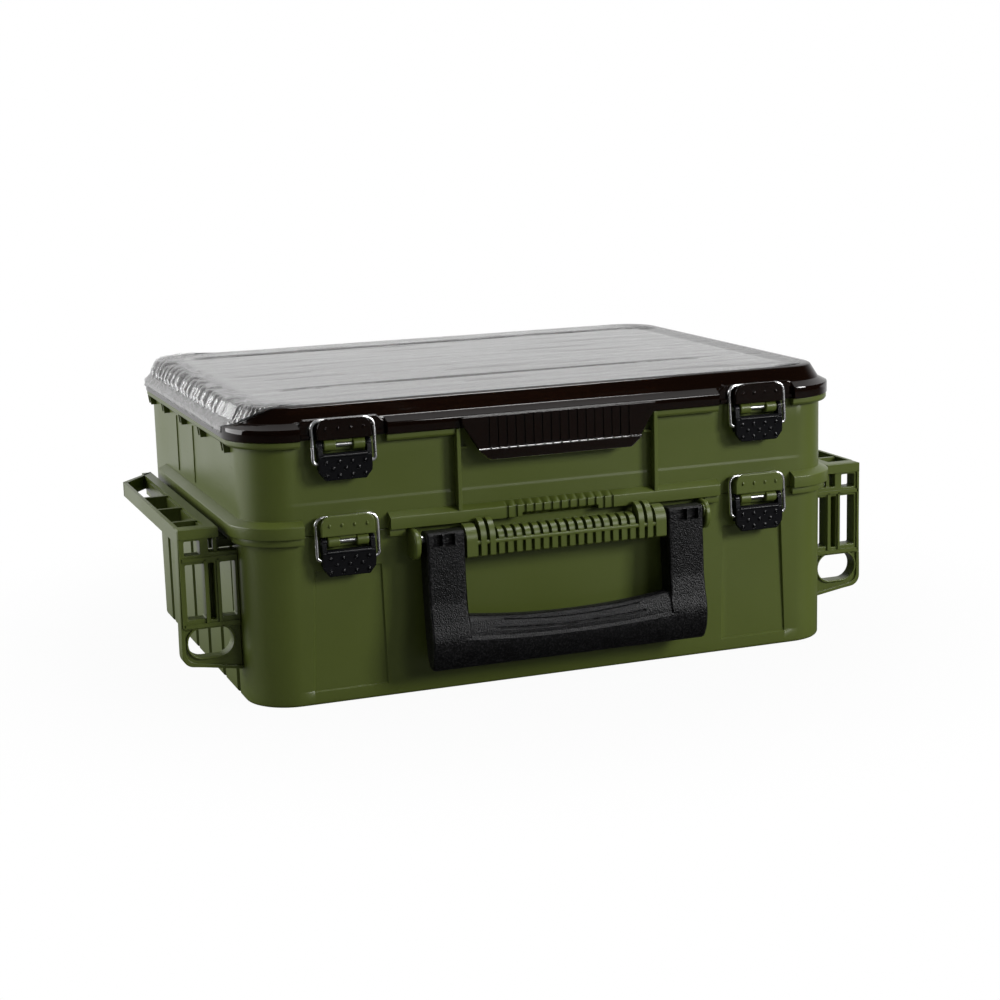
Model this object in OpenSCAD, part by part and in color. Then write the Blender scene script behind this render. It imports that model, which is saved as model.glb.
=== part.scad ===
// Two-layer tackle box: a deep bin, a hinged upper tray that closes it, and a smoked
// clear lid that closes the tray. Millimetres, +Z up, -Y is the front with the handle.
// The origin is the middle of the bin's underside.

/* [Shell] */
// Outside width across the side walls
wall_w = 398; // [360:2:440]
// Outside depth across the front and rear walls
wall_d = 295; // [280:1:320]
// Radius of the upright corners
corner_r = 29; // [26:1:36]
// Thickness of the moulded walls
wall_t = 2.8; // [2.4:0.2:3.2]
// Height of the bin
bin_h = 106; // [100:1:120]
// Height of the upper tray
tray_h = 58.8; // [56:0.2:66]
// Inward lean of the bin's side walls from rim to floor
draft = 0.4; // [0.2:0.1:1.5]
// Rounding of the bin's bottom edge
foot_r = 2; // [1.5:0.5:3]
// How far the tray's skirt stands out from the walls
skirt_out = 6.5; // [6:0.5:7]

/* [Lid] */
// Height of the lid's rim band
rim_h = 8; // [7:0.5:9]
// Height of the lid from the tray to its top face
lid_h = 20.8; // [18:0.2:24]
// How far the lid's rim stands out from the side walls
rim_out = 6.3; // [6:0.1:7]
// Width of the sloping border on the lid's sides
slope_side = 9; // [7:0.5:11]
// Width of the pull tab at its root
tab_w = 130; // [120:2:136]
// Height of the pull tab below the rim
tab_h = 20.6; // [18:0.2:23]

/* [Latches] */
// Distance of each latch from the middle
latch_x = 138.9; // [134:0.1:142]
// Width of a lever plate
lever_w = 33.5; // [32:0.5:35]
// Diameter of the bail wire
wire_d = 2.2; // [2:0.1:2.4]
// Width of a bail between its wire centres
bail_w = 39; // [38:0.5:42]
// Spacing of the grip bumps on a lever
bump_pitch = 8.05; // [7.8:0.05:8.3]

/* [Handle] */
// Half of the gap between the handle's arms
arm_in = 68.6; // [66:0.1:72]
// Width of one arm
arm_w = 24.3; // [22:0.1:26]
// Height of the handle's pivot
pivot_z = 99.5; // [98:0.5:101]
// How far the pivot stands off the front wall
pivot_out = 11.5; // [11:0.5:12]
// Number of ribs on the bar between the arms
bar_ribs = 20; // [16:2:20]

/* [Side brackets] */
// How far a bracket reaches from the middle of the box
bracket_reach = 235.4; // [230:0.2:240]
// Front face of the bracket's upright frame, behind the middle
bracket_front = 117.4; // [112:0.2:120]
// Depth of the upright frame
frame_t = 10; // [8:0.5:12]
// Height of the bracket's top shelf
shelf_z = 111.5; // [110:0.5:114]

/* [Tray dividers] */
// Thickness of a divider
divider_t = 2; // [1.6:0.2:2.4]
// Height of a divider
divider_h = 50; // [40:1:52]

/* [Hidden] */
$fn = 48;

olive = [0.29, 0.35, 0.16];
smoke = [0.13, 0.07, 0.05];
black = [0.06, 0.06, 0.07];
steel = [0.75, 0.75, 0.76];

eps = 0.5;                              // how deep an added feature is sunk into its wall
gap = 0.2;                              // face gap between the bin, the tray and the lid
front = wall_d / 2;                     // distance of the front and rear walls
side = wall_w / 2;                      // distance of the side walls
tray_z = bin_h + gap;                   // underside of the tray
tray_top = tray_z + tray_h;             // top edge of the tray
lid_z = tray_top + gap;                 // underside of the lid
lid_top = lid_z + lid_h;                // top face of the lid
floor_t = 3;                            // thickness of the bin's and the tray's floors
notch_in = 111.5;                       // inner end of each break in the skirt and rim
notch_out = 165.6;                      // outer end of each break

// The latch, measured from the parting plane that it holds shut.
pin_out = 4.4;                          // lever pin, out from the wall
pin_drop = 3.4;                         // lever pin, below the parting plane
pin_r = 1.3;
bore_play = 0.05;                       // radial play of a pin in its bore
hook_out = 5.8;                         // bail's eye in the lever, out from the wall
hook_drop = 14.3;                       // bail's eye, below the parting plane
bar_out = 3.6;                          // bail's top bar, out from the wall
bar_rise = 11.4;                        // bail's top bar, above the parting plane
knuckle_w = 27;                         // width of the block that the lever turns on
arm_t = 2.85;                           // width of a lever arm

// The rear hinges.
hinge_y = front + 7;                    // hinge axes, behind the rear wall
hinge_r = 4.2;                          // radius of a knuckle
rod_r = 2;                              // radius of a hinge rod
hinge_x = 110;                          // middle of each hinge
hinge_half = 30;                        // half length of a hinge
leaf_half = 11.6;                       // half length of its middle knuckle

// ---------- helpers ----------

module rounded(hx, hy, r) {
    // rectangle with round corners, centred
    square([2 * (hx - r), 2 * hy], center = true);
    square([2 * hx, 2 * (hy - r)], center = true);
    for (sx = [-1, 1], sy = [-1, 1])
        translate([sx * (hx - r), sy * (hy - r)]) circle(r);
}

module plan(hx, y_front, y_rear, r) {
    // rounded outline from y = -y_front to y = +y_rear
    translate([0, (y_rear - y_front) / 2]) rounded(hx, (y_front + y_rear) / 2, r);
}

module slab(z, t) {
    translate([0, 0, z]) linear_extrude(t) children();
}

module along_x(x0, x1) {
    // carries an outline drawn in (y, z) along X
    translate([x0, 0, 0]) rotate([90, 0, 90]) linear_extrude(x1 - x0) children();
}

module along_y(y0, y1) {
    // carries an outline drawn in (x, z) along Y
    translate([0, y1, 0]) rotate([90, 0, 0]) linear_extrude(y1 - y0) children();
}

module rod_x(x0, x1, y, z, r) {
    translate([x0, y, z]) rotate([0, 90, 0]) cylinder(r = r, h = x1 - x0);
}

module block(x0, x1, y0, y1, z0, z1) {
    translate([x0, y0, z0]) cube([x1 - x0, y1 - y0, z1 - z0]);
}

module both_sides() {
    children();
    mirror([1, 0, 0]) children();
}

// A point on a side view, from its distance out from the front wall and its height.
function out(o, z) = [-(front + o), z];

// Outside of the bin's side wall at a height.
function wall_x(z) = side - draft * (bin_h - z) / bin_h;

// ---------- latch parts ----------

module catch_plate(cx, p) {
    // arched catch above the parting plane p, with the lip that covers the bail
    half = lever_w / 2 + 0.2;
    top = bar_rise - wire_d / 2 - 0.5;
    round_r = 7;
    translate([cx, 0, p]) {
        along_y(-(front + 6.5), -(front - eps)) intersection() {
            translate([-half, 0]) square([2 * half, top]);
            union() {
                translate([-half, -eps]) square([2 * half, top - round_r + eps]);
                square([2 * (half - round_r), 2 * top], center = true);
                for (s = [-1, 1]) translate([s * (half - round_r), top - round_r]) circle(round_r);
            }
        }
        block(-9, 9, -(front + 8.6), -(front + 4), 7.4, top);
        block(-9, 9, -(front + 8.6), -(front + 6.7), top - eps, 13.7);
        for (k = [-1.5, -0.5, 0.5, 1.5])
            translate([k * 8.6, -(front + 6.3), 2]) cylinder(r = 1.1, h = 4.4);
    }
}

module latch_block(cx, p) {
    // block below the parting plane that carries the lever's pin
    knuckle_r = 3.4;
    along_x(cx - knuckle_w / 2, cx + knuckle_w / 2) {
        polygon([out(-eps, p - pin_drop - knuckle_r - 1), out(pin_out, p - pin_drop - knuckle_r),
                 out(pin_out, p - pin_drop + knuckle_r), out(-eps, p)]);
        translate(out(pin_out, p - pin_drop)) circle(knuckle_r);
    }
}

module latch_block_cuts(cx, p) {
    half = knuckle_w / 2 + 1;
    rod_x(cx - half, cx + half, -(front + pin_out), p - pin_drop, pin_r + bore_play);
    block(cx - 5, cx + 5, -(front + 9), -(front + pin_out - 0.4), p - 5.3, p - 1.5);
}

module latch_pin(cx, p) {
    half = lever_w / 2 + 0.3;
    rod_x(cx - half, cx + half, -(front + pin_out), p - pin_drop, pin_r);
}

module lever(cx, p) {
    half = lever_w / 2;
    face = 8.4;                         // front face of the plate, out from the wall
    back = 5.6;
    head_z = p - 9.6;
    foot_z = p - 24.5;
    cut = 5;                            // slanted lower corners
    eye_y = -(front + hook_out);
    difference() {
        union() {
            translate([cx, 0, 0]) along_y(-(front + face), -(front + back)) polygon([
                [-half, head_z], [-half, foot_z + cut], [-half + cut * 0.8, foot_z],
                [half - cut * 0.8, foot_z], [half, foot_z + cut], [half, head_z]]);
            for (x0 = [cx - half, cx + half - arm_t]) {
                along_x(x0, x0 + arm_t) polygon([
                    out(3.2, p - 18), out(face, p - 18), out(face, p - 9),
                    out(pin_out + 3, p - pin_drop), out(pin_out - 3, p - pin_drop),
                    out(1.8, p - 9), out(3.2, p - 12)]);
                rod_x(x0, x0 + arm_t, -(front + pin_out), p - pin_drop, 3);
            }
            rod_x(cx - half + arm_t, cx + half - arm_t, -(front + face - 0.3), head_z - 0.2, 0.9);
            for (row = [0:2], k = [0:(row == 1 ? 2 : 3)])
                translate([cx + (k - (row == 1 ? 1 : 1.5)) * bump_pitch,
                           -(front + face - 0.5), p - 13.5 - row * 4.1])
                    sphere(r = 1.5);
        }
        rod_x(cx - half - 1, cx + half + 1, -(front + pin_out), p - pin_drop,
              pin_r + bore_play);
        for (s = [-1, 1])
            rod_x(cx + s * (half - arm_t / 2) - arm_t / 2 - 1,
                  cx + s * (half - arm_t / 2) + arm_t / 2 + 1,
                  eye_y, p - hook_drop, wire_d / 2 + bore_play);
    }
}

module wire_bend(r) {
    // quarter turn of wire in the XZ plane, from +X round to +Z
    rotate([90, 0, 0]) rotate_extrude(angle = 90) translate([r, 0]) circle(wire_d / 2);
}

module bail(cx, p) {
    half = bail_w / 2;
    lean = atan((hook_out - bar_out) / (hook_drop + bar_rise));
    high = sqrt(pow(hook_out - bar_out, 2) + pow(hook_drop + bar_rise, 2));
    foot_bend = 2.4;
    head_bend = 5;
    r = wire_d / 2;
    eye = lever_w / 2 - arm_t;
    translate([cx, -(front + hook_out), p - hook_drop]) rotate([-lean, 0, 0]) {
        rod_x(-(half - head_bend), half - head_bend, 0, high, r);
        both_sides() {
            rod_x(eye, half - foot_bend, 0, 0, r);
            translate([half - foot_bend, 0, foot_bend]) mirror([0, 0, 1]) wire_bend(foot_bend);
            translate([half, 0, foot_bend]) cylinder(r = r, h = high - foot_bend - head_bend);
            translate([half - head_bend, 0, high - head_bend]) wire_bend(head_bend);
        }
    }
}

// ---------- rear hinge parts ----------

module hinge_ends(p) {
    // the two outer knuckles of each hinge, on the part below the parting plane
    both_sides() for (s = [-1, 1]) {
        x0 = hinge_x + (s < 0 ? -hinge_half : leaf_half + 0.4);
        x1 = hinge_x + (s < 0 ? -leaf_half - 0.4 : hinge_half);
        rod_x(x0, x1, hinge_y, p, hinge_r);
        along_x(x0, x1) polygon([
            [front - eps, p - 17], [front - eps, p - 1], [hinge_y, p - 1],
            [hinge_y + hinge_r * 0.9, p - hinge_r * 0.4], [hinge_y + hinge_r * 0.3, p - hinge_r * 0.9]]);
    }
}

module hinge_middle(p) {
    // the middle knuckle of each hinge, on the part above the parting plane
    both_sides() {
        rod_x(hinge_x - leaf_half, hinge_x + leaf_half, hinge_y, p, hinge_r);
        along_x(hinge_x - leaf_half, hinge_x + leaf_half) polygon([
            [front - eps, p + 0.6], [hinge_y, p + 0.6], [hinge_y + hinge_r * 0.6, p + hinge_r * 0.75],
            [front - eps, p + 11]]);
    }
}

module hinge_bores(p) {
    both_sides() rod_x(hinge_x - hinge_half - 1, hinge_x + hinge_half + 1, hinge_y, p,
                       rod_r + bore_play);
}

module hinge_rods(p) {
    both_sides() rod_x(hinge_x - hinge_half, hinge_x + hinge_half, hinge_y, p, rod_r);
}

// ---------- bin ----------

ear_x0 = arm_in + arm_w + 3;            // inner face of a handle ear
ear_t = 3.8;
pin_y = -(front + pivot_out);
handle_pin_r = 2.5;
rim_ring_z = bin_h - 4.5;               // underside of the bin's rim ring
skirt_end = 87;                         // where the rim ring and the skirt stop on the sides

module rim_breaks(z0, z1, reach) {
    // gaps in a front band where the latches stand
    both_sides() block(notch_in, notch_out, -(front + reach), -front, z0, z1);
}

module rear_cut(z0, z1, y0) {
    // takes a band off the rear, with slanted ends
    reach = 12;
    slab(z0, z1 - z0) polygon([
        [-(side + reach), y0 - 6], [-side, y0 + 4], [-(side - 40), front + reach],
        [side - 40, front + reach], [side, y0 + 4], [side + reach, y0 - 6],
        [side + reach, front + reach + 2], [-(side + reach), front + reach + 2]]);
}

module bin_outside() {
    low = side - draft;
    hull() {
        slab(bin_h - 0.01, 0.01) rounded(side, front, corner_r, $fn = 40);
        slab(foot_r, 0.01) rounded(low, front, corner_r, $fn = 40);
        slab(foot_r * 0.29, 0.01)
            rounded(low - foot_r * 0.29, front - foot_r * 0.29, corner_r - foot_r * 0.29, $fn = 40);
        slab(0, 0.01) rounded(low - foot_r, front - foot_r, corner_r - foot_r, $fn = 40);
    }
}

module bin_inside() {
    low = side - draft - wall_t;
    hull() {
        slab(bin_h, 1) rounded(side - wall_t, front - wall_t, corner_r - wall_t, $fn = 40);
        slab(floor_t, 0.01) rounded(low, front - wall_t, corner_r - wall_t, $fn = 40);
    }
}

module front_panels() {
    // shallow recessed fields below the lower latches
    both_sides() along_y(-(front + 1), -(front - 1.1)) polygon([
        [117.5, 84], [157.5, 84], [162, 9], [116, 9]]);
}

module side_flutes() {
    // upright grooves in the side walls, between the brackets' ends
    flute_w = 7.5;
    flute_deep = 1.8;
    flute_pitch = 25;
    both_sides() for (k = [0:7])
        translate([0, -92 + k * flute_pitch, 0])
            block(wall_x(0) - flute_deep, side + 2, 0, flute_w, -1, rim_ring_z);
}

module bin() {
    color(olive) difference() {
        union() {
            difference() {
                union() {
                    bin_outside();
                    difference() {
                        slab(rim_ring_z, bin_h - rim_ring_z)
                            plan(side + 4, front + 4, front, corner_r + 4);
                        rim_breaks(rim_ring_z - 1, bin_h + 1, 6);
                        rear_cut(rim_ring_z - 1, bin_h + 1, skirt_end);
                        block(-(ear_x0 + ear_t + 2), ear_x0 + ear_t + 2, -(front + 6), -front,
                              rim_ring_z - 1, bin_h + 1);
                    }
                }
                bin_inside();
                front_panels();
                side_flutes();
            }
            both_sides() latch_block(latch_x, bin_h);
            hinge_ends(bin_h);
        }
        both_sides() latch_block_cuts(latch_x, bin_h);
        hinge_bores(bin_h);
    }
}

// ---------- handle, its ears and its bar ----------

module handle_ears() {
    // round discs outside the handle's arms
    disc_r = 9.4;
    disc_out = 8;
    disc_z = bin_h - 0.2 - disc_r;
    color(olive) both_sides() difference() {
        along_x(ear_x0, ear_x0 + ear_t) {
            translate(out(disc_out, disc_z)) circle(disc_r);
            polygon([out(0.05, disc_z - disc_r), out(disc_out, disc_z - disc_r),
                     out(disc_out, disc_z + disc_r), out(0.05, disc_z + disc_r)]);
        }
        block(ear_x0 - 1, ear_x0 + ear_t + 1, -(front + 0.05), -front + 5, bar_low - 5, bin_h + 5);
        rod_x(ear_x0 - 1, ear_x0 + ear_t - 1.2, pin_y, pivot_z, handle_pin_r + bore_play);
    }
}

bar_half = arm_in - 1.4;                // half length of the ribbed bar
bar_low = 86.4;                         // underside of the ribbed bar

module bar_profile(reach, high) {
    // flat underside, upright face, round shoulder, open behind above the rim
    r = reach - 9;
    polygon(concat(
        [out(0.05, bar_low), out(reach, bar_low)],
        [for (a = [0:15:90]) out(reach - r + r * cos(a), high - r + r * sin(a))],
        [out(8, high), out(8, bin_h - 3), out(0.05, bin_h - 5)]));
}

module handle_bar() {
    rib_pitch = 5.9;
    rib_w = 3.7;
    cap = 7.1;                          // length of the plain cap at each end
    tall = bar_ribs / 2 - 2;            // ribs from here outwards are the tall ones
    color(olive) difference() {
        union() {
            along_x(-bar_half + 1, bar_half - 1) bar_profile(14.4, 100.5);
            both_sides() {
                for (k = [0:bar_ribs / 2 - 1])
                    translate([(k + 0.5) * rib_pitch, 0, 0]) along_x(-rib_w / 2, rib_w / 2)
                        bar_profile(k < tall ? 18 : 18.7, k < tall ? 102.8 : 109);
                along_x(bar_half - cap, bar_half) bar_profile(18.7, 106.2);
            }
            block(-bar_half + cap, bar_half - cap, -(front + 17.8), -(front + 10), 94, 96.4);
        }
        both_sides() rod_x(bar_half - cap, bar_half + 1, pin_y, pivot_z,
                           handle_pin_r + bore_play);
    }
}

module handle_pins() {
    color(steel) both_sides()
        rod_x(bar_half - 6.5, ear_x0 + ear_t - 1.5, pin_y, pivot_z, handle_pin_r);
}

module arm_profile() {
    // side view of an arm: round head on the pivot, straight shank, wedge at the grip
    polygon([
        out(pivot_out - 7, pivot_z), out(pivot_out + 7.5, pivot_z), out(19.5, 70),
        out(20.5, 58), out(23.5, 50), out(25.6, 42), out(25.6, 32), out(23.5, 22), out(20.5, 17.6),
        out(16, 17.6), out(11.5, 26), out(8, 40), out(7, 58), out(6, 80)]);
    translate(out(pivot_out, pivot_z)) circle(7.4);
}

module grip_profile() {
    polygon([
        out(8.6, 44), out(10.5, 48.6), out(14.5, 50), out(18.5, 48), out(22.5, 42.5),
        out(24.6, 36), out(24.6, 31), out(23.2, 22), out(20.5, 17.6), out(16, 17.6),
        out(11.5, 26), out(8.6, 38)]);
}

module grip() {
    // bar of the grip, whose top sags along an arc
    grip_dip = 3.6;
    dip_r = arm_in * arm_in / (2 * grip_dip);
    difference() {
        along_x(-arm_in - eps, arm_in + eps) grip_profile();
        translate([0, -front, 50 - grip_dip + dip_r]) rotate([90, 0, 0])
            cylinder(r = dip_r, h = 60, $fn = 240);
    }
}

module carry_handle() {
    arm_out = arm_in + arm_w;
    corner = 2;
    color(black) difference() {
        union() {
            both_sides() along_x(arm_in, arm_out) arm_profile();
            grip();
        }
        both_sides() {
            rod_x(arm_in - 1, arm_out + 1, pin_y, pivot_z, handle_pin_r + bore_play);
            // two square pockets in the front of each arm's head
            for (x0 = [arm_in + 3.4, arm_in + 13.6])
                block(x0, x0 + 7.2, -(front + 22), -(front + pivot_out + 4), 94.5, 102.5);
            // round lower corner
            difference() {
                block(arm_out - corner, arm_out + 1, -(front + 30), -front, 16, 17.6 + corner);
                translate([arm_out - corner, -front, 17.6 + corner])
                    rotate([90, 0, 0]) cylinder(r = corner, h = 31);
            }
        }
    }
}

// ---------- side brackets ----------

rail_in = side + 11.6;                  // inner face of the shelf's rail
post_x = side + 17.8;                   // inner face of the post below the shelf
bar_z = shelf_z - 5.3;                  // underside of the shelf's front bar
cross_z = shelf_z - 15.5;               // top of the cross bar below it

module bracket_outline() {
    // upright frame in (x, z), for the right side
    foot_z = 20.4;
    corner = 11;
    wall = side + 0.1;
    polygon([
        [wall, cross_z], [post_x, cross_z], [post_x, bar_z], [rail_in, bar_z],
        [rail_in, shelf_z], [bracket_reach, shelf_z], [bracket_reach + 1, foot_z + 4.6 + corner],
        [bracket_reach + 1 - corner, foot_z + 4.6], [wall, foot_z]]);
    translate([bracket_reach + 1 - corner, foot_z + 4.6 + corner]) circle(corner);
}

module strap_hole(grow) {
    // stadium through the lower part of the frame, widened all round
    hole_r = 9.4;
    hole_z = 39.9;
    near = side + 5 + hole_r;
    far = bracket_reach - 3 - hole_r;
    r = hole_r + grow;
    for (x = [near, far]) translate([x, hole_z]) circle(r);
    translate([near, hole_z - r]) square([far - near, 2 * r]);
}

module bracket_windows() {
    outer = bracket_reach - 3.6;
    // short window below the shelf
    translate([outer - 9.8, 95]) square([9.8, 9]);
    // tall windows
    translate([side + 1.8, 55]) square([9.4, 34.4]);
    translate([side + 14.9, 54]) square([3.6, 35.4]);
    translate([outer - 11.6, 55]) square([11.6, 34.4]);
    strap_hole(0);
}

module strap_field() {
    // sunk field round the strap hole, inside the frame's border
    difference() {
        intersection() {
            offset(delta = -2.2) bracket_outline();
            translate([side - 5, 15]) square([50, 34.6]);
        }
        strap_hole(1.2);
    }
}

module side_bracket() {
    rear_y = 56;                        // rear end of the outer band
    rear_in = 86;                       // rear end of the inner rail
    band_t = 2.4;
    rail_out = 217;
    shelf_low = shelf_z - 9.5;
    frame_y = -(bracket_front - frame_t);
    color(olive) {
        difference() {
            along_y(-bracket_front, frame_y) difference() {
                bracket_outline();
                bracket_windows();
            }
            along_y(-bracket_front - 1, -bracket_front + 1.4) strap_field();
        }
        slab(shelf_low, shelf_z - shelf_low) {
            translate([bracket_reach - band_t, frame_y]) square([band_t, rear_y - frame_y]);
            translate([rail_in, frame_y]) square([rail_out - rail_in, rear_in - frame_y]);
            polygon([[bracket_reach, rear_y - 1], [bracket_reach, rear_y + 2],
                     [rail_in, rear_in + 2], [rail_in, rear_in - 1],
                     [bracket_reach - band_t, rear_y - 1]]);
            // walls between the cells
            for (y = [-90, -46, -2.5])
                translate([rail_out - 1, y]) square([bracket_reach - rail_out - 1, 4]);
        }
        // rail's web down to the wall, under the bin's rim ring
        along_y(frame_y, rear_in) polygon([
            [rail_in, shelf_low + 1], [rail_in + 4, shelf_low + 1], [rail_in + 4, rim_ring_z - 5],
            [wall_x(rim_ring_z - 5) + 0.05, rim_ring_z - 5],
            [wall_x(rim_ring_z - 0.3) + 0.05, rim_ring_z - 0.3], [rail_in, rim_ring_z - 0.3]]);
    }
}

module side_bracket_left() mirror([1, 0, 0]) side_bracket();

module side_bracket_right() side_bracket();

// ---------- upper tray ----------

skirt_h = 7.4;                          // upright face of the skirt
skirt_slope = 2.8;                        // height of the sloping face above it
lip_h = 4.2;                            // height of the lip under the lid's rim
comb_pitch = 5.92;                      // spacing of the comb's grooves
slot_half = 25.8;                       // half length of the slot below the comb

module tray_skirt() {
    top = tray_z + skirt_h;
    difference() {
        union() {
            slab(tray_z, skirt_h)
                plan(side + skirt_out, front + skirt_out, front, corner_r + skirt_out);
            hull() {
                slab(top - 0.01, 0.01) plan(side + skirt_out, front + skirt_out, front,
                                            corner_r + skirt_out, $fn = 40);
                slab(top + skirt_slope, 0.01) plan(side + 0.3, front + 0.3, front - 1,
                                                   corner_r, $fn = 40);
            }
        }
        rim_breaks(tray_z - 1, top + 6, skirt_out + 2);
        rear_cut(tray_z - 1, top + 6, skirt_end);
        // comb of grooves over the middle slot
        for (k = [-6:6])
            translate([k * comb_pitch - 0.7, 0, 0])
                block(0, 1.4, -(front + 8), -(front + skirt_out - 1.2), tray_z - 1, top);
        block(-slot_half, slot_half, -(front + 8), -(front + skirt_out - 4), tray_z - 1, tray_z + 2.6);
    }
}

module tray_lip() {
    tab_half = tab_w / 2;
    z0 = tray_top - lip_h;
    difference() {
        slab(z0, lip_h) plan(side + 4.6, front + 4.6, front, corner_r + 4.6);
        rim_breaks(z0 - 1, tray_top + 1, 6);
        rear_cut(z0 - 1, tray_top + 1, 118);
        block(-tab_half, tab_half, -(front + 6), -front, z0 - 1, tray_top + 1);
    }
    // gussets below the lip on the sides
    both_sides() for (y = [-112, -47, 10, 66, 113])
        along_y(y, y + 3) polygon([
            [side - eps, z0 - 4.2], [side + 4, z0 - 4.2], [side + 4.4, z0 + 1], [side - eps, z0 + 1]]);
}

module upper_tray() {
    rib_x = tab_w / 2;
    color(olive) difference() {
        union() {
            slab(tray_z, tray_h) rounded(side, front, corner_r);
            tray_skirt();
            tray_lip();
            // two upright ribs beside the pull tab
            both_sides() block(rib_x, rib_x + 2.6, -(front + 6.2), -front + eps,
                               tray_z + skirt_h - 1, tray_top);
            both_sides() block(rib_x - 5.5, rib_x + 1, -(front + 2.2), -front + eps, 151.5, 153);
            both_sides() catch_plate(latch_x, tray_z);
            both_sides() latch_block(latch_x, tray_top);
            hinge_middle(bin_h);
            hinge_ends(tray_top);
            // slim upright beads on the side walls
            both_sides() for (y = [-8, 42])
                block(side - eps, side + 0.8, y, y + 1.6, tray_z + 14, tray_top - 8);
        }
        slab(tray_z + floor_t, tray_h) rounded(side - wall_t, front - wall_t, corner_r - wall_t);
        both_sides() latch_block_cuts(latch_x, tray_top);
        hinge_bores(bin_h);
        hinge_bores(tray_top);
    }
    // slots that hold the dividers
    color(olive) {
        for (s = [-1, 1], t = [-1, 1]) {
            x = s * (side - wall_t);
            block(min(x, x - s * 4), max(x, x - s * 4),
                  t * (divider_t / 2 + 1) - 0.9, t * (divider_t / 2 + 1) + 0.9,
                  tray_z + floor_t - eps, tray_z + 40);
        }
    }
}

divider_z = tray_z + floor_t;           // foot of the dividers
cell_w = (wall_w - 2 * wall_t) / 4;     // spacing of the cross dividers

module tray_divider_long() {
    half = side - wall_t - 0.3;
    color(black) difference() {
        block(-half, half, -divider_t / 2, divider_t / 2, divider_z, divider_z + divider_h);
        // shallow notches that the cross dividers slide into
        for (k = [-1:1], s = [-1, 1])
            block(k * cell_w - divider_t / 2 - 0.2, k * cell_w + divider_t / 2 + 0.2,
                  s < 0 ? -divider_t : 0.5, s < 0 ? -0.5 : divider_t,
                  divider_z - 1, divider_z + divider_h + 1);
    }
}

module tray_dividers_cross() {
    color(black) for (k = [-1:1], s = [-1, 1]) {
        near = 0.6;
        far = front - wall_t - 0.3;
        block(k * cell_w - divider_t / 2, k * cell_w + divider_t / 2,
              s < 0 ? -far : near, s < 0 ? -near : far, divider_z, divider_z + divider_h);
    }
}

// ---------- lid ----------

panel_front = 139;                      // front edge of the lid's top face
panel_rear = 143;                       // rear edge of the lid's top face
rim_front = front + 6.5;
rim_rear = front + 0.5;
lid_t = 3;                              // thickness of the lid
groove_y = [-75, 111];                  // long grooves on the top face
groove_w = 9;
groove_x = 158;                         // half length of a groove

module pull_tab() {
    half = tab_w / 2;
    low = lid_z - tab_h;
    step_z = low + 7;
    face = -(front + 9.6);
    back = -(front + 6.9);
    along_y(face, back) polygon([
        [-half, lid_z + 1], [-half, lid_z], [-half * 0.84, step_z], [-half * 0.78, low + 2],
        [-half * 0.73, low], [half * 0.73, low], [half * 0.78, low + 2], [half * 0.84, step_z],
        [half, lid_z], [half, lid_z + 1]]);
    // thicker grip field above the step, with upright ribs
    along_y(face - 1, face + eps) polygon([
        [-half, lid_z + 1], [-half, lid_z], [-half * 0.84, step_z], [half * 0.84, step_z],
        [half, lid_z], [half, lid_z + 1]]);
    for (k = [-8:8])
        translate([k * 5.85, face - 1, step_z]) cylinder(r = 0.9, h = rim_h + tab_h - 8);
    block(-half, half, face - 1, -(front + 4), lid_z, lid_z + rim_h - 0.6);
}

module lid_film_skin() {
    // thin protective film on the top face and the left slope
    slab(lid_top + 0.02, 0.12) plan(side - slope_side + 1.6, panel_front - 1, panel_rear - 1, 22);
}

module lid() {
    rim_side = side + rim_out;
    top_side = side - 6.5;
    color(smoke) difference() {
        union() {
            difference() {
                slab(lid_z, rim_h) plan(rim_side, rim_front, rim_rear, corner_r + 5);
                rim_breaks(lid_z - 1, lid_z + rim_h + 1, 8);
            }
            hull() {
                slab(lid_z + rim_h - 2, 2.2) plan(side + 2.4, front + 2.4, rim_rear,
                                                  corner_r, $fn = 40);
                slab(lid_top - 1, 0.01) plan(top_side + 0.9, panel_front + 0.9, panel_rear + 0.9,
                                             24, $fn = 40);
                slab(lid_top - 0.01, 0.01) plan(top_side, panel_front, panel_rear, 23, $fn = 40);
            }
            // upright pads behind the catches
            both_sides() block(notch_in, notch_out, -(front + 0.3), -(front - 8), lid_z, lid_z + 12);
            both_sides() catch_plate(latch_x, lid_z);
            pull_tab();
            hinge_middle(tray_top);
        }
        hull() {
            slab(lid_z - 1, rim_h - 1) plan(side - wall_t, front - wall_t, front - wall_t,
                                            corner_r - wall_t, $fn = 40);
            slab(lid_top - lid_t - 0.01, 0.01)
                plan(top_side - 3, panel_front - 3, panel_rear - 3, 20, $fn = 40);
        }
        for (y = groove_y) {
            slab(lid_top - 1.1, 2) translate([0, y]) square([2 * groove_x, groove_w], center = true);
            for (s = [-1, 1])
                translate([s * groove_x, y, lid_top - 1.1]) cylinder(d = groove_w, h = 2);
        }
        rim_breaks(lid_z - 1, lid_z, 8);
        hinge_bores(tray_top);
    }
}

module lid_film() {
    color([0.8, 0.8, 0.8, 0.4]) lid_film_skin();
}

// ---------- repeated fittings ----------

module lower_latch_pins() color(steel) both_sides() latch_pin(latch_x, bin_h);

module upper_latch_pins() color(steel) both_sides() latch_pin(latch_x, tray_top);

module tray_hinge_rods() color(steel) hinge_rods(bin_h);

module lid_hinge_rods() color(steel) hinge_rods(tray_top);

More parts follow.
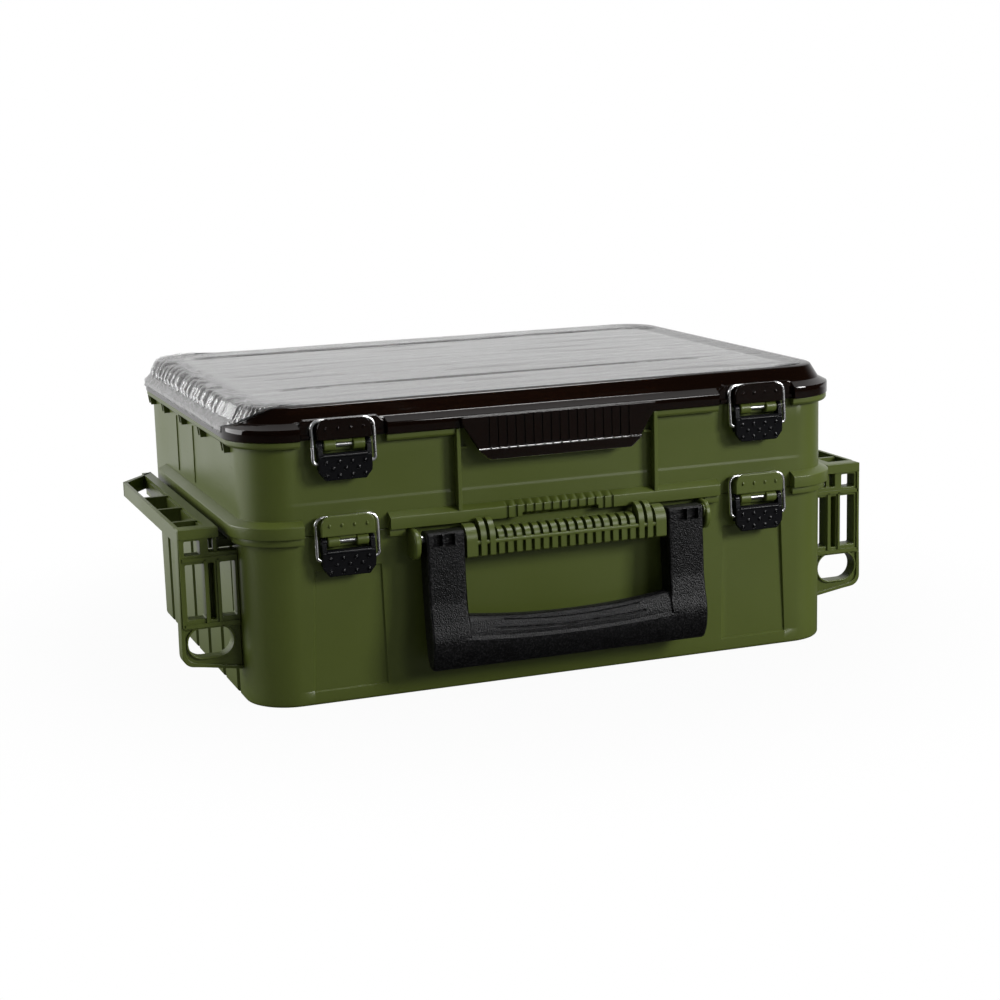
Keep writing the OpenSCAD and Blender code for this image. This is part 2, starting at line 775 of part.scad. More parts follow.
bin();
handle_ears();
handle_bar();
handle_pins();
side_bracket_left();
side_bracket_right();
lower_latch_pins();
tray_hinge_rods();
upper_tray();
tray_divider_long();
tray_dividers_cross();
upper_latch_pins();
lid_hinge_rods();
lid();
lid_film();
carry_handle();
color(black) lever(-latch_x, bin_h);  // lever_lower_left
color(black) lever(latch_x, bin_h);  // lever_lower_right
color(black) lever(-latch_x, tray_top);  // lever_upper_left
color(black) lever(latch_x, tray_top);  // lever_upper_right
color(steel) bail(-latch_x, bin_h);  // bail_lower_left
color(steel) bail(latch_x, bin_h);  // bail_lower_right
color(steel) bail(-latch_x, tray_top);  // bail_upper_left
color(steel) bail(latch_x, tray_top);  // bail_upper_right
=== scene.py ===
"""Two-layer tackle box: olive bin and tray, smoked lid under crinkled film, black handle.

Sizes are millimetres until a mesh is made. A point on the front wall is often given by how
far it stands out from that wall and by its height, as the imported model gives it.
"""

import math

import bmesh
import bpy
import numpy as np
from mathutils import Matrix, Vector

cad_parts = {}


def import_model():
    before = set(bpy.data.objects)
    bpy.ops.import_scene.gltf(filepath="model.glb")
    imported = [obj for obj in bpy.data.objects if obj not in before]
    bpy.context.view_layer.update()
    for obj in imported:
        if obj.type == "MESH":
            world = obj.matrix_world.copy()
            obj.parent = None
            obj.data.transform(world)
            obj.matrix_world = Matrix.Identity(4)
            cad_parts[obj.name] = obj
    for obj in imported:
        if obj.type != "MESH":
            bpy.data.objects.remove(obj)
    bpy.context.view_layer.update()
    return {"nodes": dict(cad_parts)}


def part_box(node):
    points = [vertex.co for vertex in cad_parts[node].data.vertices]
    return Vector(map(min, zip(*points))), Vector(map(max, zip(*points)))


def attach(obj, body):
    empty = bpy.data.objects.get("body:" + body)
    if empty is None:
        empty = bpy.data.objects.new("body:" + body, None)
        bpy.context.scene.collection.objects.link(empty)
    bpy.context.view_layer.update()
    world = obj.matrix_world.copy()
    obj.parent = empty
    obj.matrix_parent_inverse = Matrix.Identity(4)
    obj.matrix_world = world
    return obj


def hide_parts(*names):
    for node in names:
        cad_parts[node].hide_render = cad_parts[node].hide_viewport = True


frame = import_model()

MM = 0.001
BASE = "base"
TRAY = "upper_tray"
LID = "lid"

# ---------- sizes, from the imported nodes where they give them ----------

_, lid_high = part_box("lid")
rods_low, rods_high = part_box("tray_hinge_rods")

FRONT = 147.5                        # front and rear walls, from the middle
SIDE = 199.0                         # side walls
CORNER = 29.0                        # radius of the upright corners
WALL = 2.8                           # thickness of the shells' walls
BIN_H = 106.0                        # height of the bin, the lower parting line
DRAFT = 0.4                          # lean of the bin's side walls over their height
FOOT_R = 2.2                         # rounding of the bin's foot
GAP = 0.2                            # clearance at each parting line
TRAY_Z = BIN_H + GAP
TRAY_TOP = 165.0
LID_Z = TRAY_TOP + GAP
LID_TOP = lid_high.z / MM
FLOOR = 3.0
FLOOR_R = 4.0                        # rounding inside, where a floor meets the walls
SKIRT = 6.5                          # how far the tray's skirt stands out
NOTCH = (111.5, 165.6)               # breaks in the skirt and the rim at each latch
SIDE_END = 87.0                      # where the skirt stops on the side walls
LATCH_X = 138.9                      # middle of a latch
TAB_HALF = 65.0                      # half the width of the lid's pull tab
ROOT = -0.5                          # root of what stands on a wall, just inside it
HINGE_Y = (rods_low.y + rods_high.y) / 2 / MM
HINGE_X = 110.0                      # middle of a rear hinge

wall_path = (SIDE, FRONT, FRONT, CORNER)


# ---------- shapes ----------


def soft_outline(corners, steps=5):
    """Closed outline through corners (a, b, radius): an arc tangent to both sides at each.

    With radius 0 at its first and last corners it serves as an open line.
    """
    points = np.array([c[:2] for c in corners], float)
    arcs = []
    for i, (a, b, radius) in enumerate(corners):
        here = points[i]
        back = points[i - 1] - here
        ahead = points[(i + 1) % len(points)] - here
        room = 0.49 * min(np.linalg.norm(back), np.linalg.norm(ahead))
        back = back / np.linalg.norm(back)
        ahead = ahead / np.linalg.norm(ahead)
        half = math.acos(float(np.clip(back @ ahead, -1, 1))) / 2
        cut = min(radius / math.tan(half), room) if radius > 0 else 0
        if cut < 1e-4:
            arcs.append(here[None])
            continue
        r = cut * math.tan(half)
        middle = back + ahead
        centre = here + middle / np.linalg.norm(middle) * r / math.sin(half)
        first = here + back * cut - centre
        last = here + ahead * cut - centre
        start = math.atan2(first[1], first[0])
        turn = math.atan2(last[1], last[0]) - start
        turn = (turn + math.pi) % (2 * math.pi) - math.pi
        angle = start + turn * np.linspace(0, 1, steps)
        arcs.append(centre + r * np.column_stack([np.cos(angle), np.sin(angle)]))
    return np.vstack(arcs)


def ring(path, c):
    """Points and outward normals on a rounded rectangle.

    path is (half width, front reach, rear reach, corner radius). c is 0 at the middle of
    the front, 1 and 2 at the ends of the front corner, 3 and 4 at the ends of the rear
    corner and 5 at the middle of the rear; negative c is the left side.
    """
    hx, y_front, y_rear, r = path
    t = np.abs(c)
    hand = np.where(c < 0, -1.0, 1.0)
    straight = hx - r
    flank = y_front + y_rear - 2 * r
    angle = math.pi / 2 * (np.clip(t - 1, 0, 1) + np.clip(t - 3, 0, 1))
    x = straight * (np.clip(t, 0, 1) - np.clip(t - 4, 0, 1)) + r * np.sin(angle)
    y = -y_front + r - r * np.cos(angle) + flank * np.clip(t - 2, 0, 1)
    point = np.stack([hand * x, y], -1)
    normal = np.stack([hand * np.sin(angle), -np.cos(angle)], -1)
    return point, normal


def at_x(x, path=wall_path):
    """The ring position of a place on the front side."""
    return x / (path[0] - path[3])


def at_y(y, path=wall_path):
    """The ring position of a place on the right side."""
    return 2 + (y + path[1] - path[3]) / (path[1] + path[2] - 2 * path[3])


def stations(low, high, extra=(), steps=14):
    """Ring positions from low to high: even steps on every side and corner, and the extra ones."""
    grid = np.linspace(-5, 5, 10 * steps + 1)
    every = np.concatenate([[low, high], np.ravel(extra), grid])
    every = np.unique(np.round(every, 6))
    return every[(every > low - 2e-6) & (every < high + 2e-6)]


def widened(path, out):
    """The same outline, moved outwards by a distance."""
    hx, y_front, y_rear, r = path
    return (hx + out, y_front + out, y_rear + out, r + out)


def smooth(x, low, high):
    """0 below low, 1 above high, and a smooth step between."""
    t = np.clip((x - low) / (high - low), 0, 1)
    return t * t * (3 - 2 * t)


def between(x, low, high, edge=0.6):
    """1 from low to high, falling to 0 over a short edge on either side."""
    return smooth(x, low - edge, low) * (1 - smooth(x, high, high + edge))


def pleats(x, y, seed, turns=5):
    """Smooth noise from -1 to 1: a sum of sines whose directions and phases are seeded."""
    dice = np.random.default_rng(seed)
    total = np.zeros(np.broadcast(x, y).shape)
    for k in range(turns):
        heading = dice.uniform(0, 2 * math.pi)
        pitch = 0.6 + 0.45 * k
        phase = dice.uniform(0, 2 * math.pi)
        total += np.sin(pitch * (x * math.cos(heading) + y * math.sin(heading)) + phase)
    return total / turns


# ---------- geometry: every maker gives (points, faces) in millimetres ----------


def lattice(points, closed_u=False, closed_v=False, capped=False):
    """Quads over a grid of points; capped closes the first and last rows with a face."""
    nu, nv = points.shape[:2]
    index = np.arange(nu * nv).reshape(nu, nv)
    rows = np.vstack([index, index[:1]]) if closed_u else index
    full = np.hstack([rows, rows[:, :1]]) if closed_v else rows
    corners = (full[:-1, :-1], full[1:, :-1], full[1:, 1:], full[:-1, 1:])
    faces = np.stack(corners, -1).reshape(-1, 4).tolist()
    if capped:
        faces.append(index[0].tolist())
        faces.append(index[-1][::-1].tolist())
    return points.reshape(-1, 3), faces


def extrude(outline, axis, low, high):
    """A closed outline carried along an axis. It is drawn in (y, z), (x, z) or (x, y)."""
    n = len(outline)
    ends = []
    for level in (low, high):
        column = np.full(n, float(level))
        a, b = outline[:, 0], outline[:, 1]
        order = {"x": (column, a, b), "y": (a, column, b), "z": (a, b, column)}[axis]
        ends.append(np.stack(order, -1))
    return lattice(np.stack(ends), closed_v=True, capped=True)


def box(x0, x1, y0, y1, z0, z1):
    """A block between two values on each axis."""
    outline = np.array([[x0, y0], [x1, y0], [x1, y1], [x0, y1]], float)
    return extrude(outline, "z", z0, z1)


def tube(line, radius, sides=16):
    """A round rod along a line of points, its rings turned with the line and its ends capped."""
    line = np.asarray(line, float)
    ahead = np.gradient(line, axis=0)
    ahead /= np.linalg.norm(ahead, axis=1)[:, None]
    across = np.cross(ahead, np.array([0.0, 0.92, 0.39]))
    across /= np.linalg.norm(across, axis=1)[:, None]
    up = np.cross(across, ahead)
    a = np.linspace(0, 2 * math.pi, sides, endpoint=False)
    rings = line[:, None] + radius * (
        np.cos(a)[None, :, None] * across[:, None] + np.sin(a)[None, :, None] * up[:, None]
    )
    return lattice(rings, closed_v=True, capped=True)


def rod_x(x0, x1, y, z, radius, sides=40, soft=0.4):
    """A round bar along X: its radius shrinks to a quarter-circle edge at both ends."""
    turn = np.linspace(0, math.pi / 2, 4)
    lead = soft * (1 - np.cos(turn))
    size = radius - soft * (1 - np.sin(turn))
    along = np.concatenate([x0 + lead, x1 - lead[::-1]])
    radii = np.concatenate([size, size[::-1]])
    a = np.linspace(0, 2 * math.pi, sides, endpoint=False)
    points = np.stack([
        np.broadcast_to(along[:, None], (len(along), sides)),
        y + radii[:, None] * np.cos(a),
        z + radii[:, None] * np.sin(a),
    ], -1)
    return lattice(points, closed_v=True, capped=True)


def dome(x, y, z, radius, height, stretch=1.0):
    """A low round bump on a face towards -Y: height times cos, radius times sin, of one angle."""
    rise = np.linspace(0, math.pi / 2, 5)[:, None]
    a = np.linspace(0, 2 * math.pi, 12, endpoint=False)[None]
    points = np.stack([
        x + radius * np.sin(rise) * np.cos(a),
        y - height * np.cos(rise) + 0 * a,
        z + stretch * radius * np.sin(rise) * np.sin(a),
    ], -1)
    return lattice(points, closed_v=True, capped=True)


def stud(x, y, z):
    """A grip stud on a face towards -Y: a round head inside a low lip."""
    section = np.array([
        [0.1, 0.95], [0.4, 0.86], [0.7, 0.6], [0.95, 0.1], [1.2, 0.0], [1.4, 0.2], [1.6, 0.2],
        [1.8, -0.1]])
    a = np.linspace(0, 2 * math.pi, 18, endpoint=False)[None]
    r, h = section[:, :1], section[:, 1:]
    points = np.stack([x + r * np.cos(a), y - h + 0 * a, z + r * np.sin(a)], -1)
    return lattice(points, closed_v=True, capped=True)


def band(profile, path, low, high, extra=(), shape=None):
    """A closed profile of (out, height) carried along part of a rounded rectangle."""
    c = stations(low, high, extra)
    point, normal = ring(path, c)
    out = np.broadcast_to(profile[:, 0], (len(c), len(profile))).copy()
    height = np.broadcast_to(profile[:, 1], out.shape).copy()
    if shape is not None:
        out, height = shape(point[:, :1], point[:, 1:], out, height)
    plan = point[:, None] + normal[:, None] * out[..., None]
    points = np.concatenate([plan, height[..., None]], -1)
    return lattice(points, closed_v=True, capped=True)


def shell(rows, extra=(), shape=None, steps=14):
    """A closed skin over rows of (path, height, scale), which start and end at a point.

    scale draws a row in towards the middle. shape moves the finished points.
    """
    c = stations(-5, 5, extra, steps)[:-1]
    levels = []
    for path, height, scale in rows:
        plan, _ = ring(path, c)
        levels.append(np.column_stack([plan * scale, np.full(len(c), float(height))]))
    points = np.stack(levels, 1)
    if shape is not None:
        points = shape(points)
    return lattice(points, closed_u=True)


def plate(outer, holes, axis, low, high, edge=0.6):
    """A flat plate with holes and rounded edges, filled and bevelled as a 2-D curve."""
    curve = bpy.data.curves.new("plate", "CURVE")
    curve.dimensions = "2D"
    curve.fill_mode = "BOTH"
    curve.extrude = (high - low) / 2 - edge
    curve.bevel_depth = edge
    curve.bevel_resolution = 3
    curve.offset = -edge
    for outline in [outer, *holes]:
        spline = curve.splines.new("POLY")
        spline.points.add(len(outline) - 1)
        flat = np.zeros((len(outline), 4))
        flat[:, :2] = outline
        spline.points.foreach_set("co", flat.ravel())
        spline.use_cyclic_u = True
    holder = bpy.data.objects.new("plate", curve)
    bpy.context.scene.collection.objects.link(holder)
    depsgraph = bpy.context.evaluated_depsgraph_get()
    mesh = bpy.data.meshes.new_from_object(holder.evaluated_get(depsgraph))
    flat = np.zeros(len(mesh.vertices) * 3)
    mesh.vertices.foreach_get("co", flat)
    a, b, depth = flat.reshape(-1, 3).T
    level = (low + high) / 2 + depth
    order = {"x": (level, a, b), "y": (a, level, b), "z": (a, b, level)}[axis]
    faces = [list(p.vertices) for p in mesh.polygons]
    bpy.data.objects.remove(holder)
    bpy.data.meshes.remove(mesh)
    return np.stack(order, -1), faces


def mirrored(geometry):
    """The same shape on the other side of X = 0."""
    points, faces = geometry
    return points * np.array([-1.0, 1.0, 1.0]), [f[::-1] for f in faces]


def joined(*parts):
    """Several shapes as one."""
    points = np.vstack([p for p, _ in parts])
    starts = np.cumsum([0] + [len(p) for p, _ in parts[:-1]])
    faces = [[i + s for i in f] for (_, fs), s in zip(parts, starts) for f in fs]
    return points, faces


def pair(*parts):
    """Several shapes, and the same again on the other side."""
    half = joined(*parts)
    return joined(half, mirrored(half))


def front_y(out):
    """Y of a place that stands out from the front wall."""
    return -(FRONT + out)


def both_sides(x, corners):
    """Corners given by their distance from x: down the left side, then up the right."""
    left = [(x - a, b, r) for a, b, r in corners]
    return left + [(x + a, b, r) for a, b, r in corners[::-1]]


def side_view(corners, steps=5):
    """An outline given as (out from the front wall, height, radius), drawn in (y, z)."""
    return soft_outline([(front_y(o), z, r) for o, z, r in corners], steps)


# ---------- materials ----------


def group_of(name, inputs, outputs):
    """An empty node group with named sockets, each given as (name, kind, start value)."""
    group = bpy.data.node_groups.new(name, "ShaderNodeTree")
    for title, kind, start in inputs:
        socket = group.interface.new_socket(name=title, in_out="INPUT", socket_type=kind)
        socket.default_value = start
    for title, kind in outputs:
        group.interface.new_socket(name=title, in_out="OUTPUT", socket_type=kind)
    entry = group.nodes.new("NodeGroupInput")
    leave = group.nodes.new("NodeGroupOutput")
    return group, entry, leave


def add(tree, kind, links=(), **values):
    """A node whose settings are values and whose sockets are linked or set from pairs."""
    node = tree.nodes.new(kind)
    for name, value in values.items():
        setattr(node, name, value)
    for socket, source in links:
        if isinstance(source, bpy.types.NodeSocket):
            tree.links.new(source, node.inputs[socket])
        else:
            node.inputs[socket].default_value = source
    return node


def noise(tree, where, scale, detail):
    """Noise at a scale, as a value."""
    return add(tree, "ShaderNodeTexNoise", [
        ("Vector", where), ("Scale", scale), ("Detail", detail)]).outputs["Fac"]


def stretched(tree, where, scale):
    """Coordinates times three factors."""
    return add(tree, "ShaderNodeMapping", [("Vector", where), ("Scale", scale)]).outputs["Vector"]


def maths(tree, operation, *terms):
    """One step of arithmetic on sockets or numbers."""
    return add(tree, "ShaderNodeMath", enumerate(terms), operation=operation).outputs[0]


def ranged(tree, value, start, end, low=0.0, high=1.0, ease="LINEAR"):
    """A value that runs from start to end, mapped to run from low to high."""
    return add(tree, "ShaderNodeMapRange", [
        ("Value", value), ("From Min", start), ("From Max", end), ("To Min", low),
        ("To Max", high)], interpolation_type=ease).outputs["Result"]


def two_tones(tree, part, dark, pale):
    """A colour that goes from dark to pale."""
    node = add(tree, "ShaderNodeMix", [("Factor", part)], data_type="RGBA")
    ends = [s for s in node.inputs if s.type == "RGBA"]
    ends[0].default_value = (*dark, 1)
    ends[1].default_value = (*pale, 1)
    return [s for s in node.outputs if s.type == "RGBA"][0]


def blank(name):
    """A new material with its tree and its shader."""
    made = bpy.data.materials.new(name)
    made.use_nodes = True
    return made, made.node_tree, made.node_tree.nodes["Principled BSDF"]


def emboss(tree, shader, height, strength):
    """Fine relief, a millimetre deep at full height and strength."""
    node = add(tree, "ShaderNodeBump", [
        ("Height", height), ("Distance", MM), ("Strength", strength)])
    tree.links.new(node.outputs["Normal"], shader.inputs["Normal"])


def mould_group():
    """Moulded plastic: a fine spark-eroded grain, and broad drifts of tone and gloss."""
    kind = "NodeSocketFloat"
    group, entry, leave = group_of(
        "mould_finish",
        [("Grain Size", kind, 900.0), ("Drift Size", kind, 9.0), ("Grain Depth", kind, 0.5)],
        [("Grain", kind), ("Drift", kind), ("Scuff", kind)],
    )
    where = add(group, "ShaderNodeTexCoord").outputs["Object"]
    grain = noise(group, where, entry.outputs["Grain Size"], 2.0)
    deep = maths(group, "MULTIPLY", grain, entry.outputs["Grain Depth"])
    drift = noise(group, where, entry.outputs["Drift Size"], 3.0)
    scuff = noise(group, stretched(group, where, (12, 40, 260)), 1.0, 4.0)
    rare = ranged(group, scuff, 0.62, 0.74)
    for title, value in (("Grain", deep), ("Drift", drift), ("Scuff", rare)):
        group.links.new(value, leave.inputs[title])
    return group


MOULD = mould_group()


def moulded(name, dark, pale, roughness, spread, grain_size, grain_depth, bump, specular=0.5,
            mottle=(9.0, 0.0, 1.0)):
    """Moulded plastic whose colour and gloss drift between two tones over a fine grain.

    mottle is the scale of that drift and the noise values where it is all dark and all pale.
    """
    made, tree, shader = blank(name)
    drift_size, all_dark, all_pale = mottle
    finish = add(tree, "ShaderNodeGroup", [
        ("Grain Size", grain_size), ("Grain Depth", grain_depth), ("Drift Size", drift_size)],
        node_tree=MOULD).outputs
    part = ranged(tree, finish["Drift"], all_dark, all_pale)
    tree.links.new(two_tones(tree, part, dark, pale), shader.inputs["Base Color"])
    dull = ranged(tree, finish["Drift"], 0.3, 0.7, roughness - spread, roughness + spread)
    worn = maths(tree, "MULTIPLY_ADD", finish["Scuff"], spread, dull)
    tree.links.new(worn, shader.inputs["Roughness"])
    emboss(tree, shader, finish["Grain"], bump)
    shader.inputs["Specular IOR Level"].default_value = specular
    return made


def metal(name, tone, roughness, spread):
    """Bright metal with a little drift of gloss along the drawn wire."""
    made, tree, shader = blank(name)
    finish = add(tree, "ShaderNodeGroup", [("Drift Size", 60.0)], node_tree=MOULD).outputs
    shader.inputs["Base Color"].default_value = (*tone, 1)
    shader.inputs["Metallic"].default_value = 1.0
    dull = ranged(tree, finish["Drift"], 0, 1, roughness - spread, roughness + spread)
    tree.links.new(dull, shader.inputs["Roughness"])
    return made


def smoked():
    """Smoked clear plastic: dark brown in the thick, with the faint flow lines of moulding."""
    made, tree, shader = blank("smoked")
    finish = add(tree, "ShaderNodeGroup", node_tree=MOULD).outputs
    tone = two_tones(tree, finish["Drift"], (0.008, 0.0030, 0.0013), (0.012, 0.0044, 0.0019))
    tree.links.new(tone, shader.inputs["Base Color"])
    tree.links.new(ranged(tree, finish["Scuff"], 0, 1, 0.05, 0.14), shader.inputs["Roughness"])
    shader.inputs["IOR"].default_value = 1.5
    shader.inputs["Specular IOR Level"].default_value = 0.22
    shader.inputs["Transmission Weight"].default_value = 0.6
    return made


def clear_film():
    """Thin clear film: glassy, with fine draw lines along the box."""
    made, tree, shader = blank("film")
    where = add(tree, "ShaderNodeTexCoord").outputs["Object"]
    lines = noise(tree, stretched(tree, where, (4, 160, 60)), 1.0, 3.0)
    emboss(tree, shader, lines, 0.12)
    tree.links.new(ranged(tree, lines, 0, 1, 0.04, 0.22), shader.inputs["Roughness"])
    shader.inputs["Base Color"].default_value = (0.97, 0.97, 0.97, 1)
    shader.inputs["IOR"].default_value = 1.45
    shader.inputs["Transmission Weight"].default_value = 0.97
    return made


OLIVE = moulded(
    "olive", (0.066, 0.086, 0.0140), (0.081, 0.104, 0.0185), roughness=0.34, spread=0.05,
    grain_size=1500.0, grain_depth=0.5, bump=0.08, specular=0.42)
HANDLE = moulded(
    "handle", (0.0010, 0.0010, 0.0012), (0.017, 0.017, 0.018), roughness=0.36, spread=0.05,
    grain_size=1150.0, grain_depth=0.8, bump=0.6, specular=0.22, mottle=(900.0, 0.50, 0.66))
LEVER = moulded(
    "lever", (0.0022, 0.0022, 0.003), (0.0035, 0.0035, 0.0045), roughness=0.22, spread=0.05,
    grain_size=1400.0, grain_depth=0.6, bump=0.12, specular=0.3)
DIVIDER = moulded(
    "divider", (0.020, 0.021, 0.022), (0.028, 0.029, 0.030), roughness=0.5, spread=0.05,
    grain_size=1200.0, grain_depth=0.6, bump=0.12)
SMOKE = smoked()
FILM = clear_film()
WIRE = metal("wire", (0.87, 0.87, 0.88), 0.27, 0.06)
PIN = metal("pin", (0.82, 0.82, 0.84), 0.3, 0.06)


# ---------- pieces ----------


def make(name, geometry, body, material, bevel=0.0, stands_for=None, sharp=38, heal=True):
    """Puts a shape into the scene: merged, facing outwards, riding on its body."""
    points, faces = geometry
    mesh = bpy.data.meshes.new(name)
    mesh.from_pydata((points * MM).tolist(), [], faces)
    work = bmesh.new()
    work.from_mesh(mesh)
    bmesh.ops.remove_doubles(work, verts=work.verts, dist=2e-6)
    bmesh.ops.dissolve_degenerate(work, edges=work.edges, dist=1e-6)
    if heal:
        bmesh.ops.recalc_face_normals(work, faces=work.faces)
    work.to_mesh(mesh)
    work.free()
    mesh.shade_smooth()
    mesh.set_sharp_from_angle(angle=math.radians(sharp))
    piece = bpy.data.objects.new(name, mesh)
    bpy.context.scene.collection.objects.link(piece)
    mesh.materials.append(material)
    if bevel:
        soften = piece.modifiers.new("edges", "BEVEL")
        soften.width = bevel * MM
        soften.segments = 2
        soften.limit_method = "ANGLE"
        soften.angle_limit = math.radians(sharp)
        soften.use_clamp_overlap = True
        weigh = piece.modifiers.new("shading", "WEIGHTED_NORMAL")
        weigh.keep_sharp = True
    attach(piece, body)
    for node in stands_for or []:
        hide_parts(node)
    return piece


# ---- latches ----

LEVER_W = 33.5
LEVER_ARM = 2.85                     # width of a lever's arm
FACE = 8.4                           # how far a lever's and a catch's face stand out
PIN_OUT = 4.4                        # the lever's pin
PIN_DROP = 3.4
EYE_OUT = 5.8                        # the bail's feet in the lever
EYE_DROP = 14.3
BAR_OUT = 3.6                        # the bail's bar over the catch
BAR_RISE = 11.4
WIRE_R = 1.1                         # radius of the bail's wire
BUMP_PITCH = 8.05                    # of the studs on a lever


def catch(x, p):
    """Catch above the parting line p: a ledge under the bail's bar and an arched face before it."""
    half = LEVER_W / 2 + 0.2
    top = BAR_RISE - WIRE_R - 0.5

    def arch(height, r):
        return soft_outline([
            (x - half, p, 0), (x + half, p, 0), (x + half, p + height, r),
            (x - half, p + height, r)], steps=11)

    beads = [
        dome(x + k * 7.9, front_y(FACE - 0.1), p + 6.6, 1.0, 0.9, stretch=1.4)
        for k in (-1.5, -0.5, 0.5, 1.5)
    ]
    return joined(
        plate(arch(top, 7.5), [], "y", front_y(7.0), front_y(ROOT), 0.5),
        plate(arch(12.8, 8.5), [], "y", front_y(FACE), front_y(6.7), 0.75),
        *beads,
    )


def latch_block(x, p):
    """Two round knuckles on a web below the parting line; the lever's pin shows between them."""
    near, far, radius = 5.4, 12.9, 3.6
    low = p - PIN_DROP - radius
    web = side_view([
        (ROOT, low - 1, 0), (PIN_OUT, low, 0), (PIN_OUT, p - 0.1, 0), (ROOT, p - 0.1, 0)])
    parts = []
    for hand in (-1, 1):
        x0, x1 = sorted((x + hand * near, x + hand * far))
        parts.append(rod_x(x0, x1, front_y(PIN_OUT), p - PIN_DROP, radius, soft=0.7))
        parts.append(extrude(web, "x", x0 + 0.3, x1 - 0.3))
    parts.append(box(x - 6, x + 6, front_y(2.5), front_y(ROOT), low, p - 0.1))
    parts.append(box(x - 5.2, x + 5.2, front_y(6.4), front_y(ROOT), p - 1.9, p - 0.1))
    return joined(*parts)


def lever(x, p):
    """Thumb lever: a plate with cut corners, two arms to the pin, a ridge and rows of bumps."""
    half = LEVER_W / 2
    foot = p - 24.5
    head = p - 9.6
    outline = soft_outline(both_sides(x, [
        (half, head, 0.5), (half, foot + 5, 1.2), (half - 4, foot, 1.2)]), steps=4)
    side = side_view([
        (3.2, p - 18, 0.8), (FACE - 0.2, p - 18, 0.3), (FACE - 0.2, p - 9, 2.5),
        (PIN_OUT + 3, p - PIN_DROP - 0.4, 0.5), (PIN_OUT + 2, p - PIN_DROP + 2.2, 1.2),
        (PIN_OUT - 1.6, p - PIN_DROP + 2.2, 1.2), (PIN_OUT - 3, p - PIN_DROP - 0.4, 0.8),
        (2.0, p - 9, 1.0), (3.2, p - 12, 1.0)], steps=4)
    starts = (x - half, x + half - LEVER_ARM)
    arms = [extrude(side, "x", x0, x0 + LEVER_ARM) for x0 in starts]
    tips = [rod_x(x0 - 0.05, x0 + LEVER_ARM + 0.05, front_y(PIN_OUT), p - PIN_DROP, 3.0)
            for x0 in starts]
    inner = half - LEVER_ARM
    ridge = rod_x(x - inner, x + inner, front_y(FACE - 0.3), head - 0.2, 0.95, 14)
    rail = box(x - inner - 0.5, x + inner + 0.5, front_y(FACE - 0.6), front_y(5.2), head - 1.0,
               head + 1.6)
    bumps = []
    for row, count in enumerate((4, 3, 4)):
        level = p - 13.5 - row * 4.1
        for k in range(count):
            across = x + (k - (count - 1) / 2) * BUMP_PITCH
            bumps.append(stud(across, front_y(FACE), level))
    return joined(
        plate(outline, [], "y", front_y(FACE), front_y(5.6), 0.6), *arms, *tips, ridge, rail, *bumps)


def bail(x, p):
    """Bail bent from one wire: two feet in the lever, two legs and a bar, with round bends."""
    half = 19.5
    foot, head = 2.4, 5.0
    rise = BAR_RISE + EYE_DROP
    lean = (EYE_OUT - BAR_OUT) / rise
    turn = np.linspace(0, math.pi / 2, 9)
    inner = LEVER_W / 2 - LEVER_ARM
    flat = np.vstack([
        [[inner, 0.0]],
        np.column_stack([half - foot + foot * np.sin(turn), foot - foot * np.cos(turn)]),
        np.column_stack([half - head + head * np.cos(turn), rise - head + head * np.sin(turn)]),
    ])
    right = np.vstack([flat, [[0.0, rise]]])
    line = np.vstack([right, (right * [-1, 1])[::-1][1:]])
    out = EYE_OUT - lean * line[:, 1]
    points = np.column_stack([x + line[:, 0], -(FRONT + out), p - EYE_DROP + line[:, 1]])
    return tube(points, WIRE_R)


def latches():
    """Four latches: two at each parting line."""
    for hand, x in (("left", -LATCH_X), ("right", LATCH_X)):
        for level, p, low_body, high_body, high_skin in (
            ("lower", BIN_H, BASE, TRAY, OLIVE), ("upper", TRAY_TOP, TRAY, LID, SMOKE)):
            where = f"{level}_{hand}"
            make(f"latch_block_{where}", latch_block(x, p), low_body, OLIVE, bevel=0.25)
            make(f"catch_{where}", catch(x, p + GAP), high_body, high_skin, bevel=0.25)
            make(f"lever_skin_{where}", lever(x, p), f"lever_{where}", LEVER, bevel=0.35,
                 stands_for=[f"lever_{where}"])
            make(f"bail_wire_{where}", bail(x, p), f"bail_{where}", WIRE,
                 stands_for=[f"bail_{where}"])


# ---- rear hinges ----


def knuckle(x0, x1, p):
    """Part of a hinge's barrel at the parting line p."""
    return rod_x(x0, x1, HINGE_Y, p, 4.2)


def hinge_ends(p):
    """Outer knuckles of both hinges, each on a web that runs down the rear wall."""
    web = soft_outline([
        (FRONT + ROOT, p - 17, 0), (FRONT + ROOT, p - 0.6, 0), (HINGE_Y, p - 0.6, 0),
        (HINGE_Y + 4.0, p - 1.2, 0.5), (HINGE_Y + 1.4, p - 4.4, 2)], steps=5)
    parts = []
    for x0, x1 in ((HINGE_X - 30, HINGE_X - 12), (HINGE_X + 12, HINGE_X + 30)):
        parts += [knuckle(x0, x1, p), extrude(web, "x", x0 + 0.3, x1 - 0.3)]
    return pair(*parts)


def hinge_middle(p):
    """Middle knuckle of both hinges, on a leaf that rises along the rear wall."""
    leaf = soft_outline([
        (FRONT + ROOT, p + 0.6, 0), (HINGE_Y, p + 0.6, 0), (HINGE_Y + 3.2, p + 2.4, 0.8),
        (FRONT + ROOT, p + 11, 0)], steps=5)
    x0, x1 = HINGE_X - 11.6, HINGE_X + 11.6
    return pair(knuckle(x0, x1, p), extrude(leaf, "x", x0 + 0.3, x1 - 0.3))


